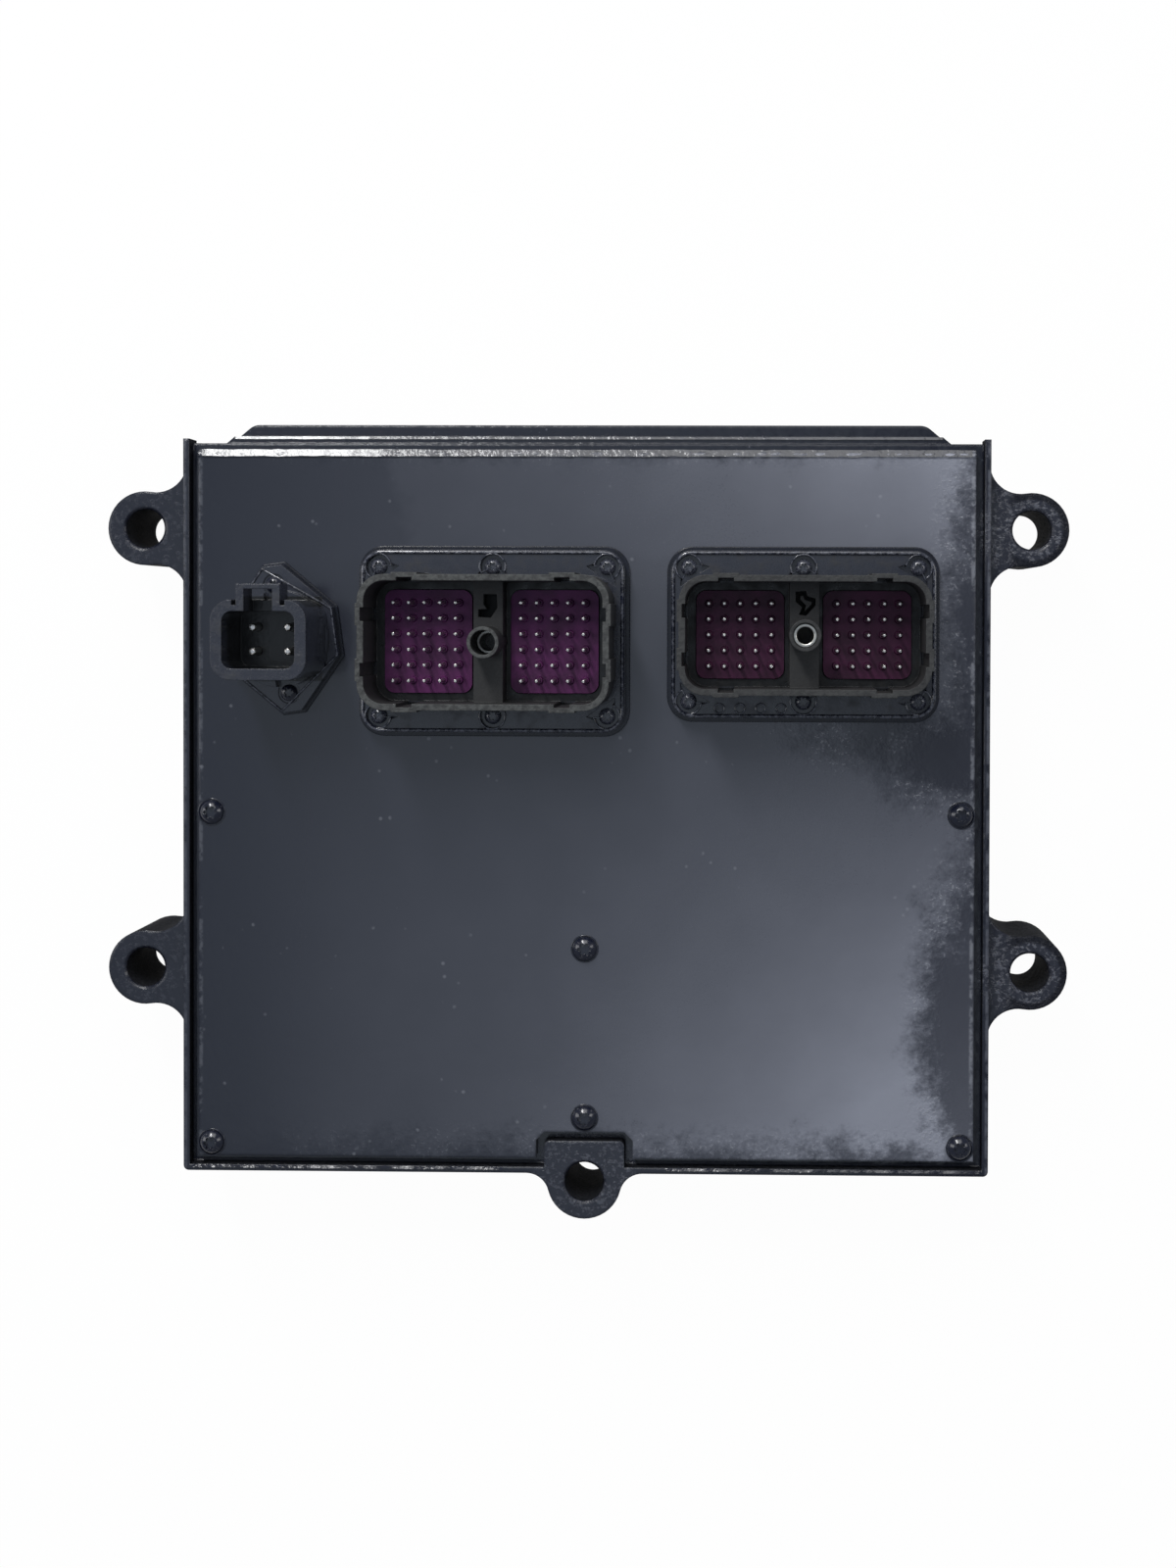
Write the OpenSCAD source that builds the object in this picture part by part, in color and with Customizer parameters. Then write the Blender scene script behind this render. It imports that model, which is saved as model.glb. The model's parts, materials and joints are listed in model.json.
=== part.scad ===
// Engine control unit: a cast housing with five bolt lugs, closed by a flat cover that carries
// two large pin headers and a power header, with the circuit board inside.
// X runs along the top rail, Y runs up to the rail and Z runs out of the cover.
// The origin is the centre of the four side lug holes, on the mounting plane. Sizes are in mm.

/* [Housing] */
// Width over the side walls
body_w = 247.4; // [240:0.2:270]
// Height over the lower and upper walls
body_h = 224.2; // [216:0.2:240]
// Depth from the mounting plane to the top of the rim
body_depth = 35; // [33:0.2:44]
// Radius of the upright corners
corner_r = 1.6; // [0.6:0.1:1.8]
// Thickness of the back wall
floor_t = 3.2; // [2.4:0.1:4.5]
// Depth of the four shallow pockets in the back
back_pocket = 1.2; // [0.4:0.1:1.4]
// Width of the ribs between and around those pockets
back_rib = 15; // [12:0.5:20]
// Width of the rim around the cover
rim_t = 1.9; // [1.4:0.1:2.6]
// Height of the rim above the face of the cover
rim_proud = 0.4; // [0.1:0.1:1]
// Height of the rim's ears above the upper wall
ear_h = 1.1; // [0.3:0.1:2]
// Width of the groove between the rim and the cover
groove_w = 2.6; // [1.6:0.1:3.2]
// Width of the seat under the edge of the cover
seat_w = 2.8; // [2.2:0.1:3.6]

/* [Lugs] */
// Distance from a side wall out to its lug holes
lug_reach = 13; // [11.5:0.1:16]
// Spacing of the side lug holes along a wall
lug_pitch = 136; // [120:0.2:150]
// Distance of the upper lug holes below the upper wall
lug_inset = 26.3; // [25:0.1:34]
// Radius of a lug's round end
lug_r = 11.4; // [10:0.1:12.5]
// Thickness of a side lug
lug_t = 31; // [20:0.2:32]
// Diameter of the lug holes
lug_bore = 11.8; // [10.4:0.1:12.6]
// Diameter of the mouth of a lug hole
lug_mouth = 13.4; // [12.8:0.1:15]
// Fillet radius beside a side lug
lug_fillet = 9.5; // [5:0.1:11]
// Distance from the lower wall out to the foot lug's hole
foot_reach = 2.6; // [1:0.1:6]
// Fillet radius beside the foot lug
foot_fillet = 7; // [4:0.1:9]
// Width of the foot lug's boss
foot_w = 24.6; // [23:0.1:27]
// Height of the foot lug's boss above the lower wall
foot_h = 10; // [9.4:0.1:13]

/* [Top rail] */
// Length of the rail at its root
rail_l = 225; // [200:0.5:230]
// Height of the rail above the upper wall
rail_h = 6.4; // [4:0.1:9]
// Distance of the rail's front behind the face of the cover
rail_back = 12; // [9:0.1:16]
// Height of the rail's front step
step_h = 2.4; // [1:0.1:3.4]
// Distance of the step's front behind the face of the cover
step_back = 7; // [5.5:0.1:8.5]
// Rounding of the rail's upper corners
rail_r = 5; // [2:0.1:8]

/* [Cover] */
// Thickness of the cover
cover_t = 3; // [2.4:0.1:3.6]
// Rounding along the upper edge of the cover
cover_round = 2.2; // [0.6:0.1:2.3]
// Distance of the cover's upper edge inside the upper wall
cover_drop = 2; // [1.2:0.1:3]
// Thickness of the cover gasket
gasket_t = 0.8; // [0.5:0.1:1.2]
// Thread diameter of the cover screws
cover_screw_d = 4; // [3.5:0.1:4.2]
// Head diameter of the cover screws
cover_head_d = 7.4; // [6.8:0.1:7.8]
// Head height of the cover screws
cover_head_h = 2.5; // [2:0.1:3]
// Depth of the cover screws' threads in their bosses
cover_screw_bite = 8; // [6:0.5:10]
// Depth of the tapped holes for the cover screws
cover_hole_depth = 12; // [10.5:0.5:14]
// Distance of the cover screws inside the cover's edge
cover_screw_inset = 4.1; // [4:0.1:5]
// Height of the middle side screws above the lower ones
cover_screw_rise = 102; // [80:0.5:105]
// Height of the centre screw above the lower ones
cover_centre_rise = 60.5; // [54:0.5:66]

/* [Pin headers] */
// Pin columns in each block
cols = 5; // [5]
// Pin rows in the taller header
rows_60 = 6; // [6]
// Pin rows in the shorter header
rows_50 = 5; // [5]
// Spacing of the pins
pin_pitch = 4.68; // [4.5:0.01:4.75]
// Diameter of the signal pins
pin_d = 1.05; // [0.8:0.05:1.2]
// Height of the signal pin tips above the cover
pin_tip = 16; // [13:0.1:18]
// Margin of an insert around its outer pins
insert_margin = 3.9; // [3:0.1:4.1]
// Thickness of the inserts
insert_t = 3; // [2.4:0.1:3.4]
// Height of the insert faces above the cover
insert_face = 7.4; // [6.6:0.1:8]
// Width of the gap between the two inserts
insert_gap = 11.8; // [11.2:0.1:13]
// Width of the web between the two blocks
web_w = 8.8; // [8:0.1:9.2]
// Height of the web above the cover
web_top = 15.5; // [12:0.1:18]
// Depth of the key recess in the web
key_depth = 6; // [3:0.1:7]
// Height of the shroud's rim above the cover
shroud_top = 28; // [25:0.2:31]
// Thickness of the shroud's wall
shroud_wall = 1.9; // [1.7:0.1:2.6]
// Gap from an insert to the shroud's side wall
shroud_side = 2.7; // [1.8:0.1:3]
// Gap from an insert to the shroud's upper and lower walls
shroud_end = 2.5; // [1.8:0.1:3]
// Inside corner radius of the shroud
shroud_r = 6; // [4:0.1:6.4]
// Thickness of the flange
flange_t = 4.6; // [4.2:0.1:5.2]
// Width of the flange beyond the shroud's sides
flange_side = 3.2; // [2.8:0.1:4]
// Height of the flange beyond the shroud's ends
flange_end = 7.8; // [7.6:0.1:9]
// Corner radius of the flange
flange_r = 6.6; // [5:0.1:7]
// Thickness of the header gaskets
header_gasket_t = 0.9; // [0.6:0.1:1.2]
// Width of gasket that shows around a flange
header_bead = 1.3; // [0.5:0.1:2]
// Width of the keyways in the shroud's rim
keyway_w = 4.6; // [3.6:0.1:5]
// Depth of the keyways
keyway_d = 1; // [0.6:0.1:1.2]
// Outer diameter of the jack bushes
bush_d = 7.2; // [6.6:0.1:7.4]
// Thread bore of the jack bushes
bush_bore = 5; // [4.2:0.1:5.2]
// Length of the jack bushes
bush_l = 12; // [9:0.5:13]
// Depth of the taller header's bush below the rim
bush_sunk = 13; // [10:0.5:14]

/* [Header placing] */
// Distance of the header flanges below the upper wall
header_drop = 33; // [31:0.2:36]
// Place of the taller header along the rail
header_60_x = -27.8; // [-28.4:0.1:-27.2]
// Place of the shorter header along the rail
header_50_x = 66.6; // [66:0.1:67.2]
// Thread diameter of the header screws
header_screw_d = 3; // [2.6:0.1:3.2]
// Head diameter of the header screws
header_head_d = 5; // [4.6:0.1:5.2]
// Head height of the header screws
header_head_h = 2; // [1.6:0.1:2.4]
// Length of the header screws' tips behind the cover
header_screw_tip = 0.4; // [0:0.1:1]
// Thickness of the flanges under the screw heads
flange_seat_t = 3.2; // [1.4:0.1:3.4]
// Diameter of the pockets around the header screws
pocket_d = 7.6; // [7.2:0.1:8]

/* [Power header] */
// Place of the power header along the rail
power_x = -92.4; // [-92.8:0.1:-92]
// Place of the power header below the upper wall
power_drop = 60.2; // [58:0.2:62]
// Width of the socket's outside
power_w = 27.9; // [26:0.1:29]
// Height of the socket's outside
power_h = 23.4; // [22:0.1:24]
// Thickness of the socket's wall
power_wall = 3.3; // [2.6:0.1:3.6]
// Outside corner radius of the socket
power_r = 6; // [5:0.1:7]
// Height of the socket's rim above the cover
power_top = 34; // [30:0.2:38]
// Height of the socket's floor above the cover
power_floor = 12; // [10:0.1:14]
// Height of the power pin tips above the cover
power_tip = 19.5; // [17:0.1:22]
// Diameter of the power pins
power_pin_d = 2.35; // [2:0.05:2.6]
// Spacing of the power pins across the socket
power_pin_x = 10.5; // [9.5:0.1:11]
// Spacing of the power pins up the socket
power_pin_y = 7.2; // [6.6:0.1:7.6]
// Half width of the flange
power_flange_x = 16.7; // [16:0.1:17]
// Half height of the flange
power_flange_y = 22.4; // [21.8:0.1:24]
// Thickness of the power flange
power_flange_t = 3.6; // [3:0.1:4.2]
// Height of the power flange's raised middle
power_raise = 3; // [2:0.1:4]
// Half spacing of the power flange screws
power_screw_y = 16.6; // [16.2:0.1:17]
// Turn of the power flange about its socket, in degrees
power_turn = 8; // [0:0.5:12]
// Width of the latch bridge
latch_w = 12.8; // [11.5:0.1:14]
// Width of the latch bridge's two posts
latch_post = 2.2; // [1.4:0.1:2.6]
// Thickness of the latch bridge's bar
latch_bar = 1.4; // [1:0.1:2.4]
// Height of the latch bridge above the socket's outside
latch_h = 4.6; // [4:0.1:5.2]

/* [Circuit board] */
// Thickness of the board
board_t = 1.6; // [1.2:0.1:2]
// Height of the posts under the board
post_h = 6; // [4.5:0.1:7]
// Gap from the board to the walls
board_gap = 6.6; // [6.2:0.1:8]
// Thread diameter of the board screws
board_screw_d = 3; // [2.5:0.1:3.2]
// Head diameter of the board screws
board_head_d = 5.4; // [4.8:0.1:5.8]
// Head height of the board screws
board_head_h = 1.8; // [1.4:0.1:2.2]
// Depth of the board screws' threads in their posts
board_screw_bite = 4.4; // [3.6:0.1:4.8]
// Depth of the tapped holes for the board screws
board_hole_depth = 5; // [4.9:0.1:5.6]
// Distance of the board screws inside the board's edge
board_screw_inset = 5; // [4.5:0.1:6]
// Side of the processor
processor_w = 26; // [22:0.5:28]
// Height of the processor
processor_t = 2.4; // [1.6:0.1:3]
// Length of the memory chips
memory_l = 16; // [12:0.5:17]
// Width of the memory chips
memory_w = 9; // [7:0.5:10]
// Length of the driver chips
driver_l = 16; // [12:0.5:17]
// Width of the driver chips
driver_w = 11; // [9:0.5:12]
// Height of the driver chips
driver_t = 3; // [2.4:0.1:3.6]
// Length of the power transistors
transistor_l = 10; // [9:0.1:10.4]
// Width of the power transistors
transistor_w = 8.8; // [8:0.1:9.2]
// Diameter of the bulk capacitors
capacitor_d = 12.4; // [10:0.1:12.6]
// Height of the bulk capacitors
capacitor_h = 15; // [12:0.5:18]
// Side of the inductors' bases
inductor_w = 22; // [18:0.5:23]
// Thickness of the inductors' rings
inductor_ring = 7.2; // [5:0.1:7.4]
// Side of the pressure sensor
sensor_w = 12; // [10:0.5:13]
// Space between neighbouring parts on the board
board_space = 4; // [3:0.1:5]

/* [Hidden] */
$fn = 64;
// Overshoot of cutting shapes
over = 1;
// Running clearance between a pin or screw and its hole
fit = 0.05;

// Plan of the housing
lug_x = body_w / 2 + lug_reach;
lug_y = lug_pitch / 2;
top_y = lug_y + lug_inset;
bottom_y = top_y - body_h;
middle_y = (top_y + bottom_y) / 2;
wall_t = rim_t + groove_w + seat_w;
cavity_x = body_w / 2 - wall_t;
foot_y = bottom_y - foot_reach;
foot_top = bottom_y + foot_h;

// Heights through the stack
face_z = body_depth - rim_proud;
cover_z = face_z - cover_t;
seat_z = cover_z - gasket_t;
board_z = floor_t + post_h;
board_top = board_z + board_t;

// Plan of the cover
cover_x = body_w / 2 - rim_t - groove_w;
cover_top = top_y - cover_drop;
cover_bottom = bottom_y + rim_t + groove_w;
screw_x = cover_x - cover_screw_inset;
screw_y = cover_bottom + cover_screw_inset;
notch_x = foot_w / 2 + groove_w;
notch_top = foot_top + groove_w;
boss_r = cover_screw_d / 2 + 2.4;
edge_screws = [
    [-screw_x, screw_y], [screw_x, screw_y],
    [-screw_x, screw_y + cover_screw_rise], [screw_x, screw_y + cover_screw_rise],
    [0, notch_top + boss_r]
];
centre_screw = [0, screw_y + cover_centre_rise];

// Plan of a pin header, by its number of rows
block_w = (cols - 1) * pin_pitch + 2 * insert_margin;
block_x = insert_gap / 2 + block_w / 2;
shroud_in_w = insert_gap + 2 * block_w + 2 * shroud_side;
shroud_w = shroud_in_w + 2 * shroud_wall;
flange_w = shroud_w + 2 * flange_side;
header_screw_x = flange_w / 2 - 5.4;
rear_w = shroud_in_w - 2;
tube_d = bush_d + 2.2;
insert_floor = insert_face - insert_t;
plate_top = insert_face - 1;
plate_bottom = header_gasket_t - 2.4;
flange_top = header_gasket_t + flange_t;
pocket_floor = header_gasket_t + flange_seat_t;
header_screw_l = pocket_floor + cover_t + header_screw_tip;
function block_h(rows) = (rows - 1) * pin_pitch + 2 * insert_margin;
function shroud_in_h(rows) = block_h(rows) + 2 * shroud_end;
function shroud_h(rows) = shroud_in_h(rows) + 2 * shroud_wall;
function flange_h(rows) = shroud_h(rows) + 2 * flange_end;
function rear_h(rows) = shroud_in_h(rows) - 2;
function header_screw_y(rows) = shroud_h(rows) / 2 + header_head_d / 2 + 0.2;
function header_y(rows) = top_y - header_drop - flange_h(rows) / 2;
function header_screws_at(rows) = [
    for (x = [-header_screw_x, 0, header_screw_x], y = [-1, 1]) [x, y * header_screw_y(rows)]
];
function pins_at(rows) = [
    for (side = [-1, 1], i = [0 : cols - 1], j = [0 : rows - 1])
        [side * block_x + (i - (cols - 1) / 2) * pin_pitch, (j - (rows - 1) / 2) * pin_pitch]
];

// Plan of the power header
power_y = top_y - power_drop;
power_rear_r = 10;
power_pins_at = [for (x = [-0.5, 0.5], y = [-0.5, 0.5]) [x * power_pin_x, y * power_pin_y]];
power_screws_at = [for (side = [-1, 1]) side * power_screw_y * [-sin(power_turn), cos(power_turn)]];

// Plan of the circuit board
board_x = cavity_x - board_gap;
board_y0 = bottom_y + wall_t + board_gap;
board_y1 = top_y - wall_t - board_gap;
board_screws_at = [
    for (
        side = [-1, 1],
        y = [
            board_y0 + board_screw_inset + board_space,
            screw_y + 0.765 * cover_screw_rise,
            board_y1 - board_screw_inset
        ]
    ) [side * (board_x - board_screw_inset), y]
];
function across(share) = share * board_x;
function up(share) = board_y0 + share * (board_y1 - board_y0);
driver_pitch = driver_l + 2 * board_space;
drivers_at = [for (side = [-1, 1], i = [-1, 0, 1]) [across(0.492 * side) + i * driver_pitch, up(0.122)]];
pedestal_w = 2 * driver_pitch + driver_l + board_space;
pedestal_h = driver_w + board_space + 1;
pad_t = 2;

// Colours
paint = "#1f2228";
plastic = "#26282c";
violet = "#4a2350";
nickel = "#c9c4b4";
steel = "#b9bcc0";
rubber = "#141517";
laminate = "#1f5a38";
chip = "#1b1c1e";

// Rectangle with round corners, centred
module round_rect(w, h, r) {
    square([w - 2 * r, h], center = true);
    square([w, h - 2 * r], center = true);
    for (x = [-1, 1], y = [-1, 1]) translate([x * (w / 2 - r), y * (h / 2 - r)]) circle(r);
}

// Lug outline on a wall along X, with its hole out along +Y
module lug_outline(reach, r, fillet) {
    w = sqrt(pow(r + fillet, 2) - pow(reach - fillet, 2));
    translate([0, reach]) circle(r);
    difference() {
        polygon([[0, reach], [w, fillet], [w, -over], [-w, -over], [-w, fillet]]);
        for (x = [-w, w]) translate([x, fillet]) circle(fillet);
    }
}

// Plan of the cover, drawn in from its edge
module cover_outline(inset) {
    x = notch_x + inset;
    y = notch_top + inset;
    cut = 2.6;
    difference() {
        translate([-cover_x + inset, cover_bottom + inset])
            square([2 * (cover_x - inset), cover_top - cover_bottom - 2 * inset]);
        polygon([
            [-x, bottom_y], [-x, y - cut], [-x + cut, y], [x - cut, y], [x, y - cut], [x, bottom_y]
        ]);
    }
}

// Plan of the space inside the walls
module cavity_outline() {
    difference() {
        translate([-cavity_x, bottom_y + wall_t]) square([2 * cavity_x, body_h - 2 * wall_t]);
        translate([-notch_x - seat_w, bottom_y])
            square([2 * (notch_x + seat_w), foot_h + groove_w + seat_w]);
    }
}

// Six-lobed driver recess
module lobe_recess(d) {
    circle(d = 0.72 * d);
    for (a = [0 : 60 : 300]) rotate(a) translate([0.36 * d, 0]) circle(d = 0.28 * d);
}

// Button-head screw pointing down, with the underside of its head at the origin
module screw(d, head_d, head_h, length) {
    dome_r = (pow(head_d / 2, 2) + pow(head_h, 2)) / (2 * head_h) + 0.24 * head_h;
    difference() {
        union() {
            rotate_extrude() intersection() {
                square([head_d / 2, head_h]);
                translate([0, head_h - dome_r]) circle(dome_r);
            }
            translate([0, 0, -length]) cylinder(d = d, h = length + 0.2);
        }
        translate([0, 0, head_h * 0.4]) linear_extrude(head_h) lobe_recess(0.56 * head_d);
    }
}

// Round contact pin with a blunt chamfered tip
module pin(d, bottom, tip) {
    rotate_extrude() polygon([
        [0, bottom], [d / 2, bottom],
        [d / 2, tip - 0.3 * d], [0.42 * d, tip - 0.1 * d], [0.3 * d, tip],
        [0, tip]
    ]);
}

// Moves its children onto the face of the cover
module on_cover(x, y) {
    translate([x, y, face_z]) children();
}

module housing() {
    color(paint) difference() {
        union() {
            housing_shell();
            top_rail();
            housing_posts();
        }
        lug_holes();
        post_holes();
        back_pockets();
    }
}

// Shallow pockets that leave a cross of ribs on the mounting plane
module back_pockets() {
    w = (body_w - 3 * back_rib) / 2;
    h = (body_h - 3 * back_rib) / 2;
    for (x = [-1, 1], y = [-1, 1])
        translate([x * (w + back_rib) / 2, middle_y + y * (h + back_rib) / 2, -over])
            linear_extrude(back_pocket + over) round_rect(w, h, back_rib / 2);
}

// Tray with its lugs, rim, seat and foot boss
module housing_shell() {
    difference() {
        union() {
            linear_extrude(body_depth) union() {
                translate([0, middle_y]) round_rect(body_w, body_h, corner_r);
                translate([0, bottom_y]) mirror([0, 1]) lug_outline(foot_reach, lug_r, foot_fillet);
            }
            linear_extrude(lug_t) for (side = [-1, 1], y = [-lug_y, lug_y])
                translate([side * body_w / 2, y]) rotate(-side * 90)
                    lug_outline(lug_reach, lug_r, lug_fillet);
            for (side = [-1, 1])
                translate([side * (body_w / 2 - rim_t / 2) - rim_t / 2, top_y - 4, seat_z - 4])
                    cube([rim_t, 4 + ear_h, body_depth - seat_z + 4]);
        }
        translate([0, 0, seat_z]) linear_extrude(body_depth) difference() {
            translate([-body_w / 2 + rim_t, bottom_y + rim_t])
                square([body_w - 2 * rim_t, body_h + over]);
            translate([0, bottom_y - foot_w / 2 + foot_h]) round_rect(foot_w, foot_w, 1.6);
        }
        translate([0, 0, floor_t]) linear_extrude(body_depth) cavity_outline();
    }
}

// Stepped rail along the upper wall, with sloping ends
module top_rail() {
    rail_step(rail_h, face_z - rail_back, rail_r);
    rail_step(step_h, face_z - step_back, 0);
}

module rail_step(height, front, r) {
    run = 1.2 * height;
    x = rail_l / 2 - run;
    turn = atan(1 / 1.2);
    reach = r * tan(turn / 2);
    translate([0, top_y, 4]) linear_extrude(front - 4) difference() {
        polygon([[-rail_l / 2 - 1.2, -1], [rail_l / 2 + 1.2, -1], [x, height], [-x, height]]);
        if (r > 0) for (side = [-1, 1]) difference() {
            polygon([
                [side * x, height + 0.01], [side * (x - reach), height + 0.01],
                [side * (x - reach), height - r],
                [side * (x + reach * cos(turn)), height - reach * sin(turn)]
            ]);
            translate([side * (x - reach), height - r]) circle(r);
        }
    }
}

module lug_holes() {
    cone_h = (lug_mouth - lug_bore) / 2;
    for (x = [-lug_x, lug_x], y = [-lug_y, lug_y]) translate([x, y, 0]) {
        translate([0, 0, -over]) cylinder(d = lug_bore, h = lug_t + 2 * over);
        translate([0, 0, lug_t - cone_h]) cylinder(d1 = lug_bore, d2 = lug_mouth, h = cone_h);
    }
    translate([0, foot_y, 0]) {
        translate([0, 0, -over]) cylinder(d = lug_bore, h = body_depth + 2 * over);
        translate([0, 0, body_depth - cone_h]) cylinder(d1 = lug_bore, d2 = lug_mouth, h = cone_h);
    }
}

// Bosses for the cover screws, posts for the board and the pedestals under the driver chips
module housing_posts() {
    for (p = edge_screws) translate([p.x, p.y, floor_t - 1]) cylinder(r = boss_r, h = seat_z - floor_t + 1);
    translate([centre_screw.x, centre_screw.y, floor_t - 1]) cylinder(r = boss_r, h = cover_z - floor_t + 1);
    for (p = board_screws_at)
        translate([p.x, p.y, floor_t - 1]) cylinder(d = board_screw_d + 4, h = post_h + 1);
    for (p = [drivers_at[1], drivers_at[4]])
        translate([p.x - pedestal_w / 2, p.y - pedestal_h / 2, floor_t - 1])
            cube([pedestal_w, pedestal_h, post_h - pad_t + 1]);
}

module post_holes() {
    for (p = edge_screws) boss_hole(p, seat_z);
    boss_hole(centre_screw, cover_z);
    for (p = board_screws_at) translate([p.x, p.y, board_z - board_hole_depth])
        cylinder(d = board_screw_d + 2 * fit, h = board_hole_depth + over);
}

// Tapped hole for a cover screw, down from the top of its boss
module boss_hole(p, top) {
    translate([p.x, p.y, top - cover_hole_depth])
        cylinder(d = cover_screw_d + 2 * fit, h = cover_hole_depth + over);
}

module cover_plate() {
    color(paint) difference() {
        translate([0, 0, cover_z]) linear_extrude(cover_t) difference() {
            cover_outline(0);
            header_cutout(rows_60, header_60_x);
            header_cutout(rows_50, header_50_x);
            translate([power_x, power_y]) power_cutout();
            for (p = concat(edge_screws, [centre_screw])) translate(p) circle(d = cover_screw_d + 0.5);
        }
        translate([0, cover_top - cover_round, face_z - cover_round]) rotate([0, 90, 0]) difference() {
            translate([-2 * cover_round, 0, -cover_x - over])
                cube([2 * cover_round, 2 * cover_round, 2 * cover_x + 2 * over]);
            cylinder(r = cover_round, h = 3 * body_w, center = true);
        }
    }
}

// Hole in the cover behind a pin header, with its tapped screw holes
module header_cutout(rows, x) {
    translate([x, header_y(rows)]) {
        square([rear_w + 1, rear_h(rows) + 1], center = true);
        for (p = header_screws_at(rows)) translate(p) circle(d = header_screw_d + 2 * fit);
    }
}

module power_cutout() {
    circle(power_rear_r + 0.5);
    for (p = power_screws_at) translate(p) circle(d = header_screw_d + 2 * fit);
}

module cover_gasket() {
    color(rubber) translate([0, 0, seat_z]) linear_extrude(gasket_t) difference() {
        intersection() {
            cover_outline(0.4);
            union() {
                difference() {
                    cover_outline(0);
                    cavity_outline();
                }
                for (p = edge_screws) translate(p) circle(boss_r);
            }
        }
        for (p = edge_screws) translate(p) circle(d = cover_screw_d + 0.5);
    }
}

module cover_screws() {
    length = cover_t + gasket_t + cover_screw_bite;
    color(paint) for (p = concat(edge_screws, [centre_screw]))
        translate([p.x, p.y, face_z]) screw(cover_screw_d, cover_head_d, cover_head_h, length);
}

// Shell of a pin header: flange, shroud, web, jack tube and rear skirt
module header_shell(rows, bush_top) {
    color(plastic) difference() {
        union() {
            header_flange(rows);
            header_shroud(rows);
            header_floor(rows);
            translate([-web_w / 2, -shroud_in_h(rows) / 2 - 0.5, plate_top - 1])
                cube([web_w, shroud_in_h(rows) + 1, web_top - plate_top + 1]);
            translate([0, 0, plate_top - 1]) cylinder(d = tube_d, h = shroud_top - plate_top + 1);
        }
        for (p = pins_at(rows)) translate([p.x, p.y, plate_bottom - over])
            cylinder(d = pin_d + 2 * fit, h = plate_top - plate_bottom + 2 * over);
        translate([0, 0, bush_top - bush_l]) cylinder(d = bush_d + 2 * fit, h = shroud_top);
        translate([0, shroud_in_h(rows) / 4 + 1.6, web_top - key_depth]) linear_extrude(key_depth + over)
            key_outline(rows);
    }
}

// Flange with a pocket and a hole at each screw
module header_flange(rows) {
    difference() {
        translate([0, 0, header_gasket_t]) linear_extrude(flange_t) difference() {
            round_rect(flange_w, flange_h(rows), flange_r);
            square([rear_w - 2, rear_h(rows) - 2], center = true);
        }
        for (p = header_screws_at(rows)) translate([p.x, p.y, 0]) {
            cylinder(d = header_screw_d + 0.4, h = flange_top);
            translate([0, 0, pocket_floor]) linear_extrude(flange_t) {
                circle(d = pocket_d);
                rotate(pocket_turn(p)) pocket_flare();
            }
        }
    }
}

// Turn of a pocket's flare, which faces the shroud at the middle and its corner at the ends
function pocket_turn(p) = (p.y > 0 ? 180 : 0) + (p.x * p.y > 0 ? -34 : p.x * p.y < 0 ? 34 : 0);

// Mouth of a screw pocket, which widens towards +Y
module pocket_flare() {
    r = pocket_d / 2;
    polygon([[-0.8 * r, 0.1 * r], [0.8 * r, 0.1 * r], [1.4 * r, 0.9 * r], [-1.4 * r, 0.9 * r]]);
}

// Shroud wall with keyways inside its rim and a thickening behind each one
module header_shroud(rows) {
    w = shroud_in_w;
    h = shroud_in_h(rows);
    long_x = w * 0.33;
    side_y = h * 0.225;
    translate([0, 0, pocket_floor - 0.5]) linear_extrude(shroud_top - pocket_floor + 0.5) difference() {
        union() {
            round_rect(shroud_w, shroud_h(rows), shroud_r + shroud_wall);
            for (x = [-long_x, long_x])
                translate([x, 0]) square([keyway_w + 3, shroud_h(rows) + 1.1], center = true);
            for (y = [-side_y, side_y])
                translate([0, y]) square([shroud_w + 1.1, keyway_w + 2], center = true);
        }
        round_rect(w, h, shroud_r);
        for (x = [-long_x, long_x]) translate([x, 0]) square([keyway_w, h + 2 * keyway_d], center = true);
        for (y = [-side_y, side_y])
            translate([0, y]) square([w + 2 * keyway_d, keyway_w - 0.6], center = true);
    }
}

// Pin plate with a recess for each insert, and the skirt that reaches down to the board
module header_floor(rows) {
    translate([0, 0, plate_bottom]) linear_extrude(plate_top - plate_bottom) difference() {
        square([rear_w, rear_h(rows)], center = true);
        for (side = [-1, 1]) translate([side * block_x, 0]) round_rect(block_w + 0.2, block_h(rows) + 0.2, 3);
    }
    translate([0, 0, plate_bottom]) linear_extrude(insert_floor - plate_bottom)
        square([rear_w, rear_h(rows)], center = true);
    translate([0, 0, pocket_floor]) linear_extrude(plate_top - pocket_floor)
        difference() {
            round_rect(shroud_in_w + 1, shroud_in_h(rows) + 1, shroud_r);
            square([rear_w - 2, rear_h(rows) - 2], center = true);
        }
    skirt_bottom = board_top + 0.2 - face_z;
    translate([0, 0, skirt_bottom]) linear_extrude(plate_bottom - skirt_bottom + 0.5) difference() {
        square([rear_w, rear_h(rows)], center = true);
        square([rear_w - 3.2, rear_h(rows) - 3.2], center = true);
    }
}

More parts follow.
